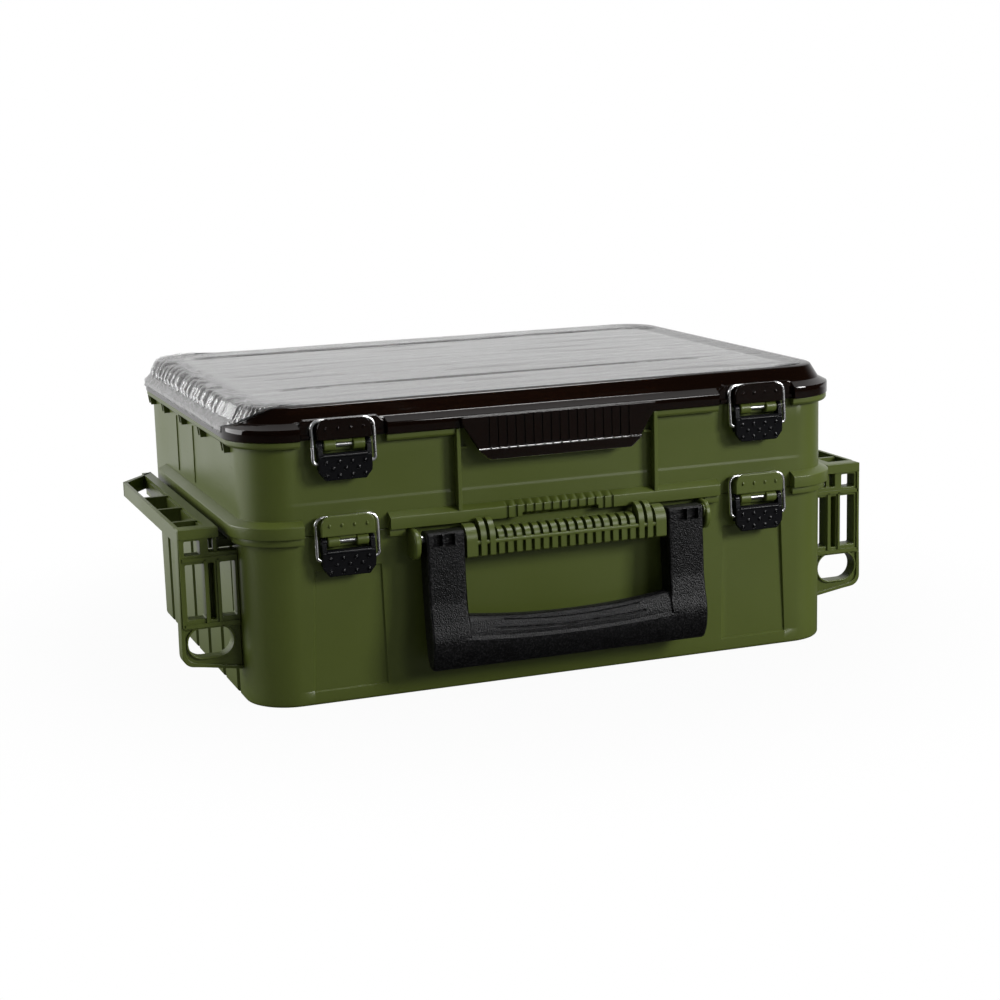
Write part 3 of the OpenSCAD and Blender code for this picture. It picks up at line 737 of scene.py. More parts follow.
def hinges():
    """Barrels and leaves of the rear hinges at both parting lines."""
    make("bin_knuckles", hinge_ends(BIN_H), BASE, OLIVE, bevel=0.4)
    make("tray_lower_knuckles", hinge_middle(BIN_H), TRAY, OLIVE, bevel=0.4)
    make("tray_upper_knuckles", hinge_ends(TRAY_TOP), TRAY, OLIVE, bevel=0.4)
    make("lid_knuckles", hinge_middle(TRAY_TOP), LID, SMOKE, bevel=0.4)


# ---- bin ----

FIELD = (117.0, 158.5)               # edges of a recessed front field at its top
FIELD_LEAN = (-1.3, 3.6)             # how far out they lie at its foot
FIELD_DEEP = (1.2, 2.0)              # left and right
FIELD_Z = (9.0, 84.0)                # its foot and top
FLUTE_Z = (-5.0, 101.0)              # the same of a flute in a side wall
FLUTE_DEEP = 1.8
FLUTES = [(-104.0 + 39.2 * k, -97.0 + 39.2 * k) for k in range(6)]


def bin_skin():
    """Bin: rows climb the outside from the middle of the foot, then go down the inside."""
    def outside(z, out=0.0):
        return widened((SIDE - DRAFT * (BIN_H - z) / BIN_H, FRONT, FRONT, CORNER), out)

    low = outside(0)
    rows = [(widened(low, -FOOT_R - 9), 0.9, s) for s in (0, 0.4, 0.8, 1)]
    rows += [(widened(low, -FOOT_R - 8), 0.2, 1), (widened(low, -FOOT_R - 7.4), 0.0, 1)]
    for turn in np.linspace(0, math.pi / 2, 7):
        rows.append((outside(0, FOOT_R * (math.sin(turn) - 1)), FOOT_R * (1 - math.cos(turn)), 1))
    edges = [z + d for z in (*FIELD_Z, 101.0) for d in (-0.7, 0, 0.7)]
    for z in sorted([*edges, *range(20, 80, 12), 104.5]):
        rows.append((outside(z), z, 1))
    rows += [(outside(BIN_H), BIN_H - 0.4, 1), (outside(BIN_H, -0.4), BIN_H, 1)]
    outer_rows = len(rows)
    rows += [(outside(BIN_H, -WALL + 0.4), BIN_H, 1), (outside(BIN_H, -WALL), BIN_H - 0.4, 1)]
    for turn in np.linspace(0, math.pi / 2, 5):
        inner = FLOOR_R * (1 - math.cos(turn))
        rows.append((outside(7, -WALL - inner), FLOOR + FLOOR_R * (1 - math.sin(turn)), 1))
    rows += [(outside(7, -WALL - 8), FLOOR, s) for s in (1, 0.6, 0.3, 0)]

    def shape(points):
        x, y, z = points[..., 0], points[..., 1], points[..., 2]
        depth = (FIELD_Z[1] - z) / (FIELD_Z[1] - FIELD_Z[0])
        across = np.abs(x)
        on_front = (y < -FRONT + 0.3) & (z > 2)
        lean = np.interp(across, [100, *FIELD, 165], [0, *FIELD_LEAN, 0])
        x = x + np.where(on_front, np.sign(x) * lean * np.clip(depth, 0, 1), 0)
        field = between(across, *FIELD, 0.7) * between(z, *FIELD_Z, 0.7) * on_front
        y = y + np.where(x < 0, *FIELD_DEEP) * field
        on_side = (across > SIDE - 4) & (np.abs(y) < FRONT - CORNER)
        flute = sum(between(y, a, b, 0.8) for a, b in FLUTES)
        flute = flute * between(z, *FLUTE_Z, 0.7) * on_side
        inside = np.zeros(z.shape, bool)
        inside[:, outer_rows:] = True
        x = x - np.sign(x) * FLUTE_DEEP * np.where(inside, 0, flute)
        y = np.where(inside, points[..., 1], y)
        return np.stack([x, y, z], -1)

    front_marks = [at_x(x + d) for x in FIELD for d in (-0.7, 0, 0.7)]
    side_marks = [at_y(y + d) for f in FLUTES for y in f for d in (-0.8, 0, 0.8)]
    marks = np.array(front_marks + side_marks)
    return shell(rows, extra=np.concatenate([marks, -marks]), shape=shape)


def rim_ring():
    """Ring under the bin's rim, between the ears and the latches and round the front corners."""
    profile = soft_outline([(ROOT, 101.5, 0), (4, 101.5, 0.7), (4, BIN_H, 0.4), (ROOT, BIN_H, 0)], 4)
    return pair(
        band(profile, wall_path, at_x(EAR_X + EAR_T + 2), at_x(NOTCH[0])),
        band(profile, wall_path, at_x(NOTCH[1]), at_y(SIDE_END)),
    )


def ear():
    """Disc outside a handle arm, its rear half a web as tall as the disc."""
    low, high = EAR_Z - EAR_R, EAR_Z + EAR_R
    outline = side_view([
        (ROOT, low, 0), (8 + EAR_R, low, EAR_R), (8 + EAR_R, high, EAR_R), (ROOT, high, 0)], steps=16)
    boss = rod_x(EAR_X - 0.9, EAR_X + 0.5, PIVOT_Y, PIVOT_Z, 4.4)
    return joined(extrude(outline, "x", EAR_X, EAR_X + EAR_T), boss)


# ---- handle and its bar ----

ARM_IN = 68.6                        # inner side of a handle arm
ARM_W = 24.3                         # its width
ARM_OUT = ARM_IN + ARM_W
EAR_X = ARM_OUT + 3.0                # inner face of an ear
EAR_T = 3.8                          # its thickness
EAR_R = 9.4                          # radius of its front edge
EAR_Z = BIN_H - 0.2 - EAR_R
PIVOT_OUT = 11.5                     # the handle's axis, out from the front wall
PIVOT_Y = front_y(PIVOT_OUT)
PIVOT_Z = 99.5
BAR_HALF = 67.2                      # half length and foot of the ribbed bar
BAR_LOW = 86.4


def bar_profile(reach, knee, high, back):
    """Side view whose head is a quarter ellipse from (reach, knee) to (back, high)."""
    turn = np.linspace(0, math.pi / 2, 9)
    head = np.column_stack([
        front_y(back + (reach - back) * np.cos(turn)), knee + (high - knee) * np.sin(turn)])
    foot = side_view([(reach - 1, BAR_LOW, 0), (reach, BAR_LOW + 0.8, 0)], 2)
    rear = side_view([(8, high, 0), (8, BIN_H - 3, 0), (0.1, BIN_H - 5, 0), (0.1, BAR_LOW, 0)], 2)
    return np.vstack([foot, head, rear])


def ribbed_bar():
    """Bar between the arms: a core, ribs of which two at each end are tall, caps and a bead."""
    pitch, width, cap = 5.9, 3.7, 7.1
    parts = [extrude(bar_profile(14.4, 95.5, 100.5, 9.4), "x", -BAR_HALF + 1, BAR_HALF - 1)]
    for k in range(10):
        rib = bar_profile(18, 96.4, 102.8, 11.4) if k < 8 else bar_profile(18.7, 96.4, 109, 8.5)
        for hand in (-1, 1):
            x = hand * (k + 0.5) * pitch
            parts.append(extrude(rib, "x", x - width / 2, x + width / 2))
    for hand in (-1, 1):
        x = hand * (BAR_HALF - cap / 2)
        side = bar_profile(18.7, 96.8, 106.2, 9.5)
        parts.append(extrude(side, "x", x - cap / 2, x + cap / 2))
    bead = side_view([
        (10, 93.9, 0), (18.3, 93.9, 0.9), (18.3, 96.5, 0.9), (10, 96.5, 0)], 4)
    parts.append(extrude(bead, "x", -BAR_HALF + cap, BAR_HALF - cap))
    return joined(*parts)


def spaced(line, count, dense=(0, 0), weight=4.0):
    """Points along a line; those whose height is in the dense range stand closer together."""
    step = np.linalg.norm(np.diff(line, axis=0), axis=1)
    run = np.concatenate([[0], np.cumsum(step)])
    fine = np.linspace(0, run[-1], 2000)
    height = np.interp(fine, run, line[:, 1])
    cost = np.where((height > dense[0]) & (height < dense[1]), weight, 1.0)
    spent = np.concatenate([[0], np.cumsum(cost[1:])])
    where = np.interp(np.linspace(0, spent[-1], count), spent, fine)
    return np.column_stack([np.interp(where, run, line[:, k]) for k in (0, 1)])


def inset(distance, radius):
    """How far a quarter-round edge lies inside its corner, at a distance from the end."""
    near = 1 - np.clip(distance / radius, 0, 1)
    return radius * (1 - np.sqrt(1 - np.minimum(near, 0.999) ** 2))


HANDLE_LOW = [(9.0, 40, 0), (11.5, 27, 4), (16, 17.6, 2.5), (20.8, 17.6, 3.5), (24.6, 27, 30),
              (25.6, 38, 24), (23.0, 47, 0)]
HANDLE_GRIP = [(23.0, 47, 0), (21.2, 50.6, 3), (14.5, 51.6, 4), (9.8, 47.5, 3), (9.0, 40, 0)]
HANDLE_ARM = [(23.0, 47, 0), (20.4, 60, 30), (18.9, PIVOT_Z, 1), (18.9, PIVOT_Z + 5.0, 4.8),
              (4.1, PIVOT_Z + 5.0, 6.5), (4.1, PIVOT_Z - 8, 3), (6.6, 60, 10), (9.0, 40, 0)]
POCKETS = (6.4, 14.3)                # inner edges of the pockets in an arm's head
POCKET_W = 6.6
POCKET_Z = (96.4, 102.6)
LINES = (                            # grooves in the grip: half length, height mid and end, depth
    (46.0, 43.4, 46.0, 0.5), (50.0, 39.0, 41.3, 1.0), (ARM_IN + 1.5, 34.4, 37.6, 0.6))


def carry_handle():
    """Carry handle: closed loops in the side view, placed at stations along X.

    Under the shoulder every loop follows the grip. Above it a loop goes up round the pivot
    on the arms, and over the grip's crown between them, which sags along an arc.
    """
    lower = spaced(side_view(HANDLE_LOW, 9), 110, (32, 47.5))
    grip = spaced(side_view(HANDLE_GRIP, 9), 130, (44, 52), 3.0)
    arm = spaced(side_view(HANDLE_ARM, 11), 130, (94, 104), 2.5)
    blend, edge, corner = 2.0, 1.3, 2.6
    quarter = np.sin(np.linspace(0, math.pi / 2, 6))
    plain = np.concatenate([np.linspace(0, ARM_IN - blend, 60), ARM_IN - blend * (1 - quarter)])
    near_x = [
        ARM_IN + edge * (1 - quarter), ARM_OUT - edge * (1 - quarter),
        ARM_OUT - corner * (1 - quarter)]
    near_x += [[ARM_IN + a + d for a in POCKETS for d in (0, 0.4, POCKET_W - 0.4, POCKET_W)]]
    arms = np.unique(np.round(np.concatenate([*near_x, [ARM_IN, ARM_IN + 12]]), 4))
    loops = []
    for x, on_arm in [(x, False) for x in plain] + [(x, True) for x in arms]:
        upper = (arm if on_arm else grip).copy()
        base = lower.copy()
        if on_arm:
            pull = np.column_stack([np.full(len(upper), PIVOT_Y), upper[:, 1]]) - upper
            pull /= np.linalg.norm(pull, axis=1)[:, None] + 1e-6
            fade = smooth(upper[:, 1], 47, 54)[:, None]
            upper += pull * (inset(x - ARM_IN, edge) * fade + inset(ARM_OUT - x, edge))
            inward = np.array([front_y(17), 33.0]) - base
            base += inward / np.linalg.norm(inward, axis=1)[:, None] * inset(ARM_OUT - x, edge)
            across = x - ARM_IN
            pocket = any(a + 0.2 < across < a + POCKET_W - 0.2 for a in POCKETS)
            front_face = upper[:, 0] < front_y(PIVOT_OUT + 2)
            upper[:, 0] += 3.2 * pocket * between(upper[:, 1], *POCKET_Z, 0.35) * front_face
        else:
            sag = 4.6 * (1 - (x / ARM_IN) ** 2)
            lift = inset(ARM_IN - x, blend)
            upper[:, 1] += (lift - sag) * smooth(upper[:, 1], 40, 50)
        loop = np.vstack([base, upper[1:-1]])
        loops.append(np.column_stack([np.full(len(loop), x), loop]))
    points = np.stack(loops)
    x, y, z = points[..., 0], points[..., 1], points[..., 2]
    # three curved grooves, and the upper band of the grip, sunk between the arms
    face = y < front_y(19)
    bend = (x / ARM_IN) ** 2
    for half, mid, end, deep in LINES:
        level = mid + (end - mid) * bend * (ARM_IN / half) ** 2
        groove = 1 - smooth(np.abs(z - level), 0.2, 0.85)
        y += deep * groove * face * (1 - smooth(x, half - 1.2, half))
    step = LINES[-1][1] + (LINES[-1][2] - LINES[-1][1]) * bend
    y += 1.1 * smooth(z, step, step + 1.0) * face * (1 - smooth(x, ARM_IN - 0.8, ARM_IN - 0.1))
    z += inset(ARM_OUT - x, corner) * (1 - smooth(z, 17.6, 26))
    left = points[::-1][:-1] * np.array([-1.0, 1.0, 1.0])
    return lattice(np.concatenate([left, points]), closed_v=True, capped=True)


def handle():
    """The carry handle, the bar between its arms and the ears beside them."""
    make("handle_body", carry_handle(), "carry_handle", HANDLE, stands_for=["carry_handle"], sharp=50)
    make("ribbed_bar", ribbed_bar(), BASE, OLIVE, bevel=0.75, stands_for=["handle_bar"])
    make("ear_pair", pair(ear()), BASE, OLIVE, bevel=1.0, stands_for=["handle_ears"])


# ---- side brackets ----

REACH = 235.4                        # how far a bracket reaches along X
BRACKET_Y = -117.4                   # front of its frame
FRAME_T = 10.0                       # depth of the frame
SHELF = 111.5                        # top of its shelf


def bracket():
    """Right bracket: an upright frame with windows, and a shelf of cells behind its top.

    The frame's face has a border, and a field sunk between it and the strap hole.
    """
    outer = REACH - 3.6
    rail_in, rail_out, post, bar_low, cross = SIDE + 11.6, 217.0, SIDE + 17.8, 106.2, 96.0
    wall = SIDE - DRAFT + 0.45

    def window(x0, x1, z0, z1, r):
        return soft_outline([(x0, z0, r), (x1, z0, r), (x1, z1, r), (x0, z1, r)], steps=9)

    head = [
        (wall, cross, 0), (post, cross, 0.5), (post, bar_low, 1.2), (rail_in, bar_low, 0.4),
        (rail_in, SHELF, 0.4), (REACH, SHELF, 1.0)]
    foot = [(REACH + 1, 40, 30), (REACH + 1, 26, 11.5), (REACH - 12, 24.3, 10), (wall, 20.4, 0)]
    outline = soft_outline(head + foot, steps=8)
    above = soft_outline([*head, (REACH + 0.8, 48.6, 0), (wall, 48.6, 0)], steps=8)
    rim = soft_outline([
        (REACH + 0.8, 49, 0), *foot, (wall, 22.6, 0), (REACH - 13, 26.6, 8),
        (REACH - 1.4, 28.6, 9.5), (REACH - 1.4, 49, 0)], steps=8)
    strap = window(204, REACH - 3, 30.5, 49.3, 9.35)
    around = window(202.8, REACH - 1.8, 29.3, 50.5, 10.5)
    windows = [
        window(outer - 9.8, outer, 95, 104, 0.9),
        window(SIDE + 1.8, SIDE + 11.2, 55, 89.4, 0.9),
        window(SIDE + 14.9, SIDE + 18.5, 54, 89.4, 0.8),
        window(outer - 11.6, outer, 55, 89.4, 0.9),
    ]
    low = SHELF - 9.5
    y0 = BRACKET_Y + FRAME_T
    face = BRACKET_Y + 1.4
    parts = [
        plate(outline, [*windows, strap], "y", face, y0, 0.5),
        plate(above, windows, "y", BRACKET_Y, face + 0.3, 0.5),
        plate(around, [strap], "y", BRACKET_Y, face + 0.3, 0.4),
    ]
    for x0, x1, z0, z1 in (
            (wall + 0.6, REACH - 1.2, 91.2, 93.4), (wall + 0.6, REACH - 1.2, 49.8, 52.2),
            (rail_in, REACH - 0.2, 105.4, SHELF - 0.2), (REACH - 1.9, REACH - 0.3, 50.6, 105.8),
            (SIDE + 11.8, SIDE + 13.4, 52, 92), (SIDE + 19.7, SIDE + 21.3, 52, 92)):
        parts.append(box(x0, x1, BRACKET_Y - 1.1, BRACKET_Y + 0.4, z0, z1))
    parts.append(box(SIDE + 14.2, SIDE + 19.2, y0 - 1.4, y0 - 0.2, 53, 90.4))
    corner_bar = (rail_in + 0.6, rail_in + 3.0, BRACKET_Y + 2, BRACKET_Y + 4.4)
    parts.append(box(*corner_bar, cross - 0.5, bar_low + 0.5))
    parts.append(plate(rim, [], "y", BRACKET_Y, face + 0.3, 0.4))
    parts += [
        box(REACH - 2.4, REACH, y0 - 0.5, 56, low, SHELF),
        box(rail_in, rail_out, y0 - 0.5, 86, low, SHELF),
    ]
    slant = np.array([
        [REACH, 55], [REACH, 58], [rail_in, 88], [rail_in, 85], [REACH - 2.4, 55]], float)
    parts.append(extrude(slant, "z", low, SHELF))
    for y in (-90, -46, -2.5):
        parts.append(box(rail_out - 1, REACH - 1.5, y, y + 3, low + 0.1, SHELF - 0.6))
    # lips round the cells, one step below the shelf's top
    for a, b in ((-107.4, -90), (-86, -46), (-42, -2.5), (1.5, 52)):
        parts.append(box(rail_out - 0.2, rail_out + 1.2, a + 0.2, b - 0.2, low, SHELF - 1.6))
    web = np.array([
        [rail_in, low + 1], [rail_in + 4, low + 1], [rail_in + 4, 96.5], [wall, 96.5],
        [wall, 101.2], [rail_in, 101.2]], float)
    parts.append(extrude(web, "y", y0, 86))
    return joined(*parts)


def brackets():
    """Both side brackets."""
    right = bracket()
    make("bracket_right", right, BASE, OLIVE, bevel=0.5, stands_for=["side_bracket_right"], sharp=45)
    make("bracket_left", mirrored(right), BASE, OLIVE, bevel=0.5,
         stands_for=["side_bracket_left"], sharp=45)


# ---- upper tray ----


def tray_skin():
    """Tray: rows climb the outside from the middle of the floor, then go down the inside."""
    def row(out, z, scale=1.0):
        return (widened(wall_path, out), z, scale)

    rows = [row(-4, TRAY_Z, s) for s in (0, 0.5, 1)]
    rows += [row(-0.4, TRAY_Z), row(0, TRAY_Z + 0.4)]
    rows += [row(0, z) for z in (118, 124.6, 125.4, 126.4, 127.2, 140, 152, 164.6)]
    rows += [row(-0.4, TRAY_TOP), row(-WALL + 0.4, TRAY_TOP), row(-WALL, TRAY_TOP - 0.4)]
    for turn in np.linspace(0, math.pi / 2, 5):
        inner = FLOOR_R * (1 - math.cos(turn))
        rows.append(row(-WALL - inner, TRAY_Z + FLOOR + FLOOR_R * (1 - math.sin(turn))))
    rows += [row(-WALL - 8, TRAY_Z + FLOOR, s) for s in (1, 0.6, 0.3, 0)]

    def shape(points):
        x, y, z = points[..., 0], points[..., 1], points[..., 2]
        on_front = y < -FRONT + 0.05
        step = 0.35 * smooth(z, 125.4, 126.4) * on_front * (z < TRAY_TOP - 0.2)
        return np.stack([x, y + step, z], -1)

    return shell(rows, shape=shape)


SKIRT_TOP = 113.6                    # top of the skirt's upright face
SKIRT_PROFILE = soft_outline([
    (-0.6, TRAY_Z, 0), (SKIRT, TRAY_Z, 0.5), (SKIRT, SKIRT_TOP, 0.7), (0.3, 116.4, 0.4),
    (-0.6, 116.4, 0)], 5)
COMB = 5.92                          # pitch of the comb's grooves
SLOT_HALF = 25.8                     # half the length of the slot below the comb


def skirt():
    """Skirt over the bin's rim: its middle is cut by a comb of grooves over a slot."""
    grooves = (np.arange(13) - 6) * COMB
    marks = [at_x(g + d) for g in grooves for d in (-0.9, -0.65, 0.65, 0.9)]
    marks += [at_x(s * SLOT_HALF + d) for s in (-1, 1) for d in (-0.2, 0.2)]

    def comb(x, y, out, height):
        cut = np.zeros(x.shape)
        for g in grooves:
            cut = np.maximum(cut, between(x, g - 0.65, g + 0.65, 0.25))
        face = (out > 5.5) * (height < SKIRT_TOP + 0.3)
        out = out - 1.3 * cut * face
        over_slot = between(x, -SLOT_HALF + 0.1, SLOT_HALF - 0.1, 0.2)
        height = height + 2.6 * over_slot * (height < TRAY_Z + 2) * (out > 1.5)
        return out, height

    middle = band(SKIRT_PROFILE, wall_path, at_x(-NOTCH[0]), at_x(NOTCH[0]), marks, comb)
    flank = band(SKIRT_PROFILE, wall_path, at_x(NOTCH[1]), at_y(SIDE_END))
    return joined(middle, flank, mirrored(flank))


def tray_lip():
    """Lip under the lid's rim, with hollow gussets below it on the sides."""
    low = TRAY_TOP - 4.2
    profile = soft_outline([
        (ROOT, low, 0), (3.6, low, 0.8), (4.8, low + 1.4, 1.0), (4.8, TRAY_TOP, 0.3),
        (ROOT, TRAY_TOP, 0)], 4)
    parts = [
        band(profile, wall_path, at_x(TAB_HALF + 2.6), at_x(NOTCH[0])),
        band(profile, wall_path, at_x(NOTCH[1]), at_y(118)),
    ]
    for y in (-112, -47, 10, 66, 111):
        for shift, deep in ((0, 5.5), (6.2, 5.0)):
            gusset = np.array([
                [SIDE + ROOT, low - deep], [SIDE + 3.6, low - deep], [SIDE + 4.4, low + 0.6],
                [SIDE + ROOT, low + 0.6]])
            parts.append(extrude(gusset, "y", y + shift, y + shift + 1.6))
    return pair(*parts)


def tray_ribs():
    """Upright ribs beside the pull tab, their small ledges, and beads on the side walls."""
    parts = []
    rib = side_view([
        (ROOT, SKIRT_TOP - 1, 0), (6.3, SKIRT_TOP - 1, 0), (6.3, TRAY_TOP, 0.6),
        (ROOT, TRAY_TOP, 0)], 4)
    parts.append(extrude(rib, "x", TAB_HALF, TAB_HALF + 2.6))
    parts.append(box(TAB_HALF - 5.5, TAB_HALF + 1, front_y(2.4), front_y(ROOT), 151.4, 153))
    for y in (-8, 42):
        parts.append(box(SIDE + ROOT, SIDE + 0.7, y, y + 1.4, 119, 157))
    return pair(*parts)


def tray_channels():
    """Upright channels on the end walls that hold the long divider."""
    inner = SIDE - WALL
    low = TRAY_Z + FLOOR - 0.5
    return pair(*[
        box(inner - 4, inner + 0.3, y - 0.9, y + 0.9, low, TRAY_Z + 40) for y in (-2.0, 2.0)])


def bin_and_tray():
    """The olive shells and what is moulded on them."""
    make("bin_skin", bin_skin(), BASE, OLIVE, stands_for=["bin"])
    make("bin_rim_ring", rim_ring(), BASE, OLIVE)
    make("tray_skin", tray_skin(), TRAY, OLIVE, stands_for=["upper_tray"])
    make("tray_skirt", skirt(), TRAY, OLIVE, sharp=50)
    make("tray_lip", tray_lip(), TRAY, OLIVE, bevel=0.2, sharp=50)
    make("tray_ribs", tray_ribs(), TRAY, OLIVE, bevel=0.4)
    make("tray_channels", tray_channels(), TRAY, OLIVE, bevel=0.3)


# ---- lid and film ----

RIM = (205.3, 154.0, 148.0, 38.0)    # outlines of the rim and of the flat panel on top
PANEL = (192.5, 139.2, 143.2, 23.0)
RIM_TOP = 173.1                      # top of the lid's rim, where the ledge starts
CROWN = 1.1                          # how far the panel sinks towards its edge
GROOVES = ((111.0, 158.0, 11.5, 1.3), (-75.0, 150.0, 11.5, 0.7))  # y, half length, width, depth


def mix_path(a, b, t):
    """The rounded rectangle a share t of the way from a to b."""
    return tuple(p * (1 - t) + q * t for p, q in zip(a, b))


def border():
    """Rows (share of the way in, height) over the ledge behind the rim and up the steep border."""
    reach = RIM[1] - 1 - PANEL[1]
    line = soft_outline([
        (0, RIM_TOP, 0), (5.6, RIM_TOP + 2.6, 1.2), (11.7, LID_TOP - CROWN - 0.7, 1.8),
        (reach, LID_TOP - CROWN, 0)], 9)
    return line[:, 0] / reach, line[:, 1]


def lid_height(x, y):
    """Height of the lid's top face: a slight crown with two long shallow grooves."""
    far = np.maximum(np.abs(x) / PANEL[0], np.abs(y) / PANEL[1])
    z = LID_TOP + CROWN * (1 - far ** 2) - CROWN
    for y0, half, width, deep in GROOVES:
        end = np.clip(np.abs(x) - half + width / 2, 0, None)
        away = np.hypot(end, y - y0)
        z = z - deep * (1 - smooth(away, width / 2 - 3.2, width / 2 + 0.4))
    return z


def lid_skin():
    """Lid: up round the rim, in over the ledge, up the slope, over the top, and back inside."""
    rows = [(widened(RIM, -5), LID_Z, 1), (widened(RIM, -0.5), LID_Z, 1), (RIM, LID_Z + 0.5, 1)]
    rows += [(RIM, LID_Z + 4, 1), (RIM, RIM_TOP - 1.0, 1), (widened(RIM, -0.3), RIM_TOP - 0.3, 1),
             (widened(RIM, -1.0), RIM_TOP, 1)]
    rim_rows = len(rows)
    shares, heights = border()
    for t, z in zip(shares[1:], heights[1:]):
        rows.append((mix_path(widened(RIM, -1.0), PANEL, t), z, 1))
    top_start = len(rows)
    for s in np.concatenate([np.linspace(0.985, 0.9, 5), np.linspace(0.86, 0.02, 34)]):
        rows.append((PANEL, LID_TOP, s))
    rows.append((PANEL, LID_TOP, 0))
    top_end = len(rows)
    thick = 3.0
    inner = widened(PANEL, -3)
    rows += [(inner, LID_TOP - CROWN - thick, s) for s in (0, 0.3, 0.6, 1)]
    rows += [(widened(inner, 1.0), LID_TOP - CROWN - thick - 0.7, 1)]
    rows += [(widened(RIM, -8.2), RIM_TOP - 1.5, 1), (widened(RIM, -8.4), LID_Z, 1)]
    rows += [rows[0]]

    def shape(points):
        x, y, z = points[..., 0].copy(), points[..., 1].copy(), points[..., 2].copy()
        j = np.arange(points.shape[1])
        top = (j >= top_start) & (j < top_end)
        z[:, top] = lid_height(x[:, top], y[:, top])
        band_rows = (j >= 1) & (j < rim_rows)
        notch = between(np.abs(x), *NOTCH, 0.25) * (y < -FRONT) * band_rows
        y = y * (1 - notch) + notch * np.maximum(y, front_y(2.3))
        return np.stack([x, y, z], -1)

    marks = [x + d for x in NOTCH for d in (-0.25, 0, 0.25)]
    marks = np.array([at_x(x, RIM) for x in marks])
    return shell(rows, extra=np.concatenate([marks, -marks]), shape=shape, steps=20)


def latch_pad():
    """Raised pad behind a catch: its inner end steps down to the rim along a slant."""
    outline = soft_outline([
        (NOTCH[0] + 0.3, LID_Z + 0.2, 0), (NOTCH[1] - 0.3, LID_Z + 0.2, 0),
        (NOTCH[1] - 0.3, 176.2, 1.0), (NOTCH[1] - 3, 177.2, 0.5), (NOTCH[0] + 5, 177.2, 0.8),
        (NOTCH[0] + 0.3, RIM_TOP, 0.5)], 4)
    parts = [plate(outline, [], "y", front_y(2.6), front_y(-7), 0.9)]
    for a, b in ((NOTCH[0] + 2, 120.5), (157.3, NOTCH[1] - 1)):
        parts.append(box(a, b, front_y(4.2), front_y(1), 166.6, 168.2))
    return pair(*parts)


def pull_tab():
    """Pull tab: a tapered plate with a ribbed field between its top edge and a thick lip."""
    low = LID_Z - 20.6
    step = low + 7
    half = TAB_HALF
    back = soft_outline(both_sides(0, [
        (half, RIM_TOP - 0.7, 1.0), (half, LID_Z + 3, 0.5), (half * 0.84, step, 4),
        (half * 0.73, low, 5)]), 6)
    lip = soft_outline(both_sides(0, [
        (half * 0.855, step + 0.3, 0.8), (half * 0.84, step - 1, 3),
        (half * 0.735, low - 0.1, 5)]), 6)
    rib = side_view([
        (9.0, step - 0.4, 0.3), (11.4, step - 0.4, 0.3), (11.4, step + 0.5, 0.3),
        (10.5, step + 0.8, 0.3), (10.5, RIM_TOP - 1.3, 0.6), (9.0, RIM_TOP - 0.8, 0.3)], 4)
    ribs = [extrude(rib, "x", k * 5.85 - 0.5, k * 5.85 + 0.5) for k in range(-8, 9)]
    bridge = side_view([
        (2.6, LID_Z + 0.3, 0), (8.4, LID_Z + 0.3, 0.3), (8.4, RIM_TOP - 1.8, 0.3),
        (2.6, RIM_TOP - 1.2, 0)], 5)
    return joined(
        plate(back, [], "y", front_y(9.8), front_y(6.9), 0.8),
        plate(lip, [], "y", front_y(11.0), front_y(8.6), 0.8),
        extrude(bridge, "x", -half + 0.4, half - 0.4),
        *ribs,
    )


FILM_RUN = np.linspace(0, 326, 560)  # columns: way round the left side, from the rear
FILM_TURNS = ([0, 44, 281, 326], [-4.05, -3, -2, -1])    # places on that way, as ring positions
FILM_END = ([0, 4, 14, 26, 37], [-1.97, -1.94, -1.72, -1.45, -1.15])     # front end, by row
FILM_SIDE = 5                        # bare strip of the top beside the right border
HANG = 4                             # rows on the rim's face


def film_grid():
    """The film lying smooth: its points, and how its rows below the top face outwards.

    Rows 0 to 3 lie on the rim's face, 4 to 37 go over the ledge and up the border, and the
    rest go across the top along X.
    """
    c = np.interp(FILM_RUN, *FILM_TURNS)
    shares, heights = border()
    part = np.concatenate([[0], np.cumsum(np.hypot(np.diff(shares) * 12, np.diff(heights)))])
    fine = np.linspace(0, 1, 34) * part[-1]
    share = np.concatenate([np.zeros(HANG), np.interp(fine, part, shares)])
    drop = RIM_TOP - np.array([4.6, 3, 1.4, 0.3])
    level = np.concatenate([drop, np.interp(fine, part, heights)])
    last = np.interp(np.arange(len(share)), *FILM_END)
    slope, outward = [], []
    for k, (t, z) in enumerate(zip(share, level)):
        path = widened(mix_path(widened(RIM, -1.0), PANEL, t), 1.25 if k < HANG else 0.15)
        plan, normal = ring(path, np.minimum(c, last[k]))
        slope.append(np.column_stack([plan, np.full(len(c), z + 0.12)]))
        outward.append(normal)
    edge = slope[-1]
    # its far end keeps inside the panel's rounded corners
    half, front, rear, corner = PANEL
    past = np.maximum(corner - front - edge[:, 1], edge[:, 1] - rear + corner)
    past = np.clip(past, 0, corner - 0.5)
    far_x = half - corner - FILM_SIDE + np.sqrt(corner ** 2 - past ** 2)
    span = half - FILM_SIDE - edge[:, 0].min()
    top = []
    for x_in in [*np.linspace(0.8, 20, 22), *np.linspace(34, span, 20)]:
        t = x_in / span
        x = edge[:, 0] * (1 - t) + far_x * t
        top.append(np.column_stack([x, edge[:, 1], lid_height(x, edge[:, 1]) + 0.14]))
    return np.stack(slope + top), np.stack(outward)


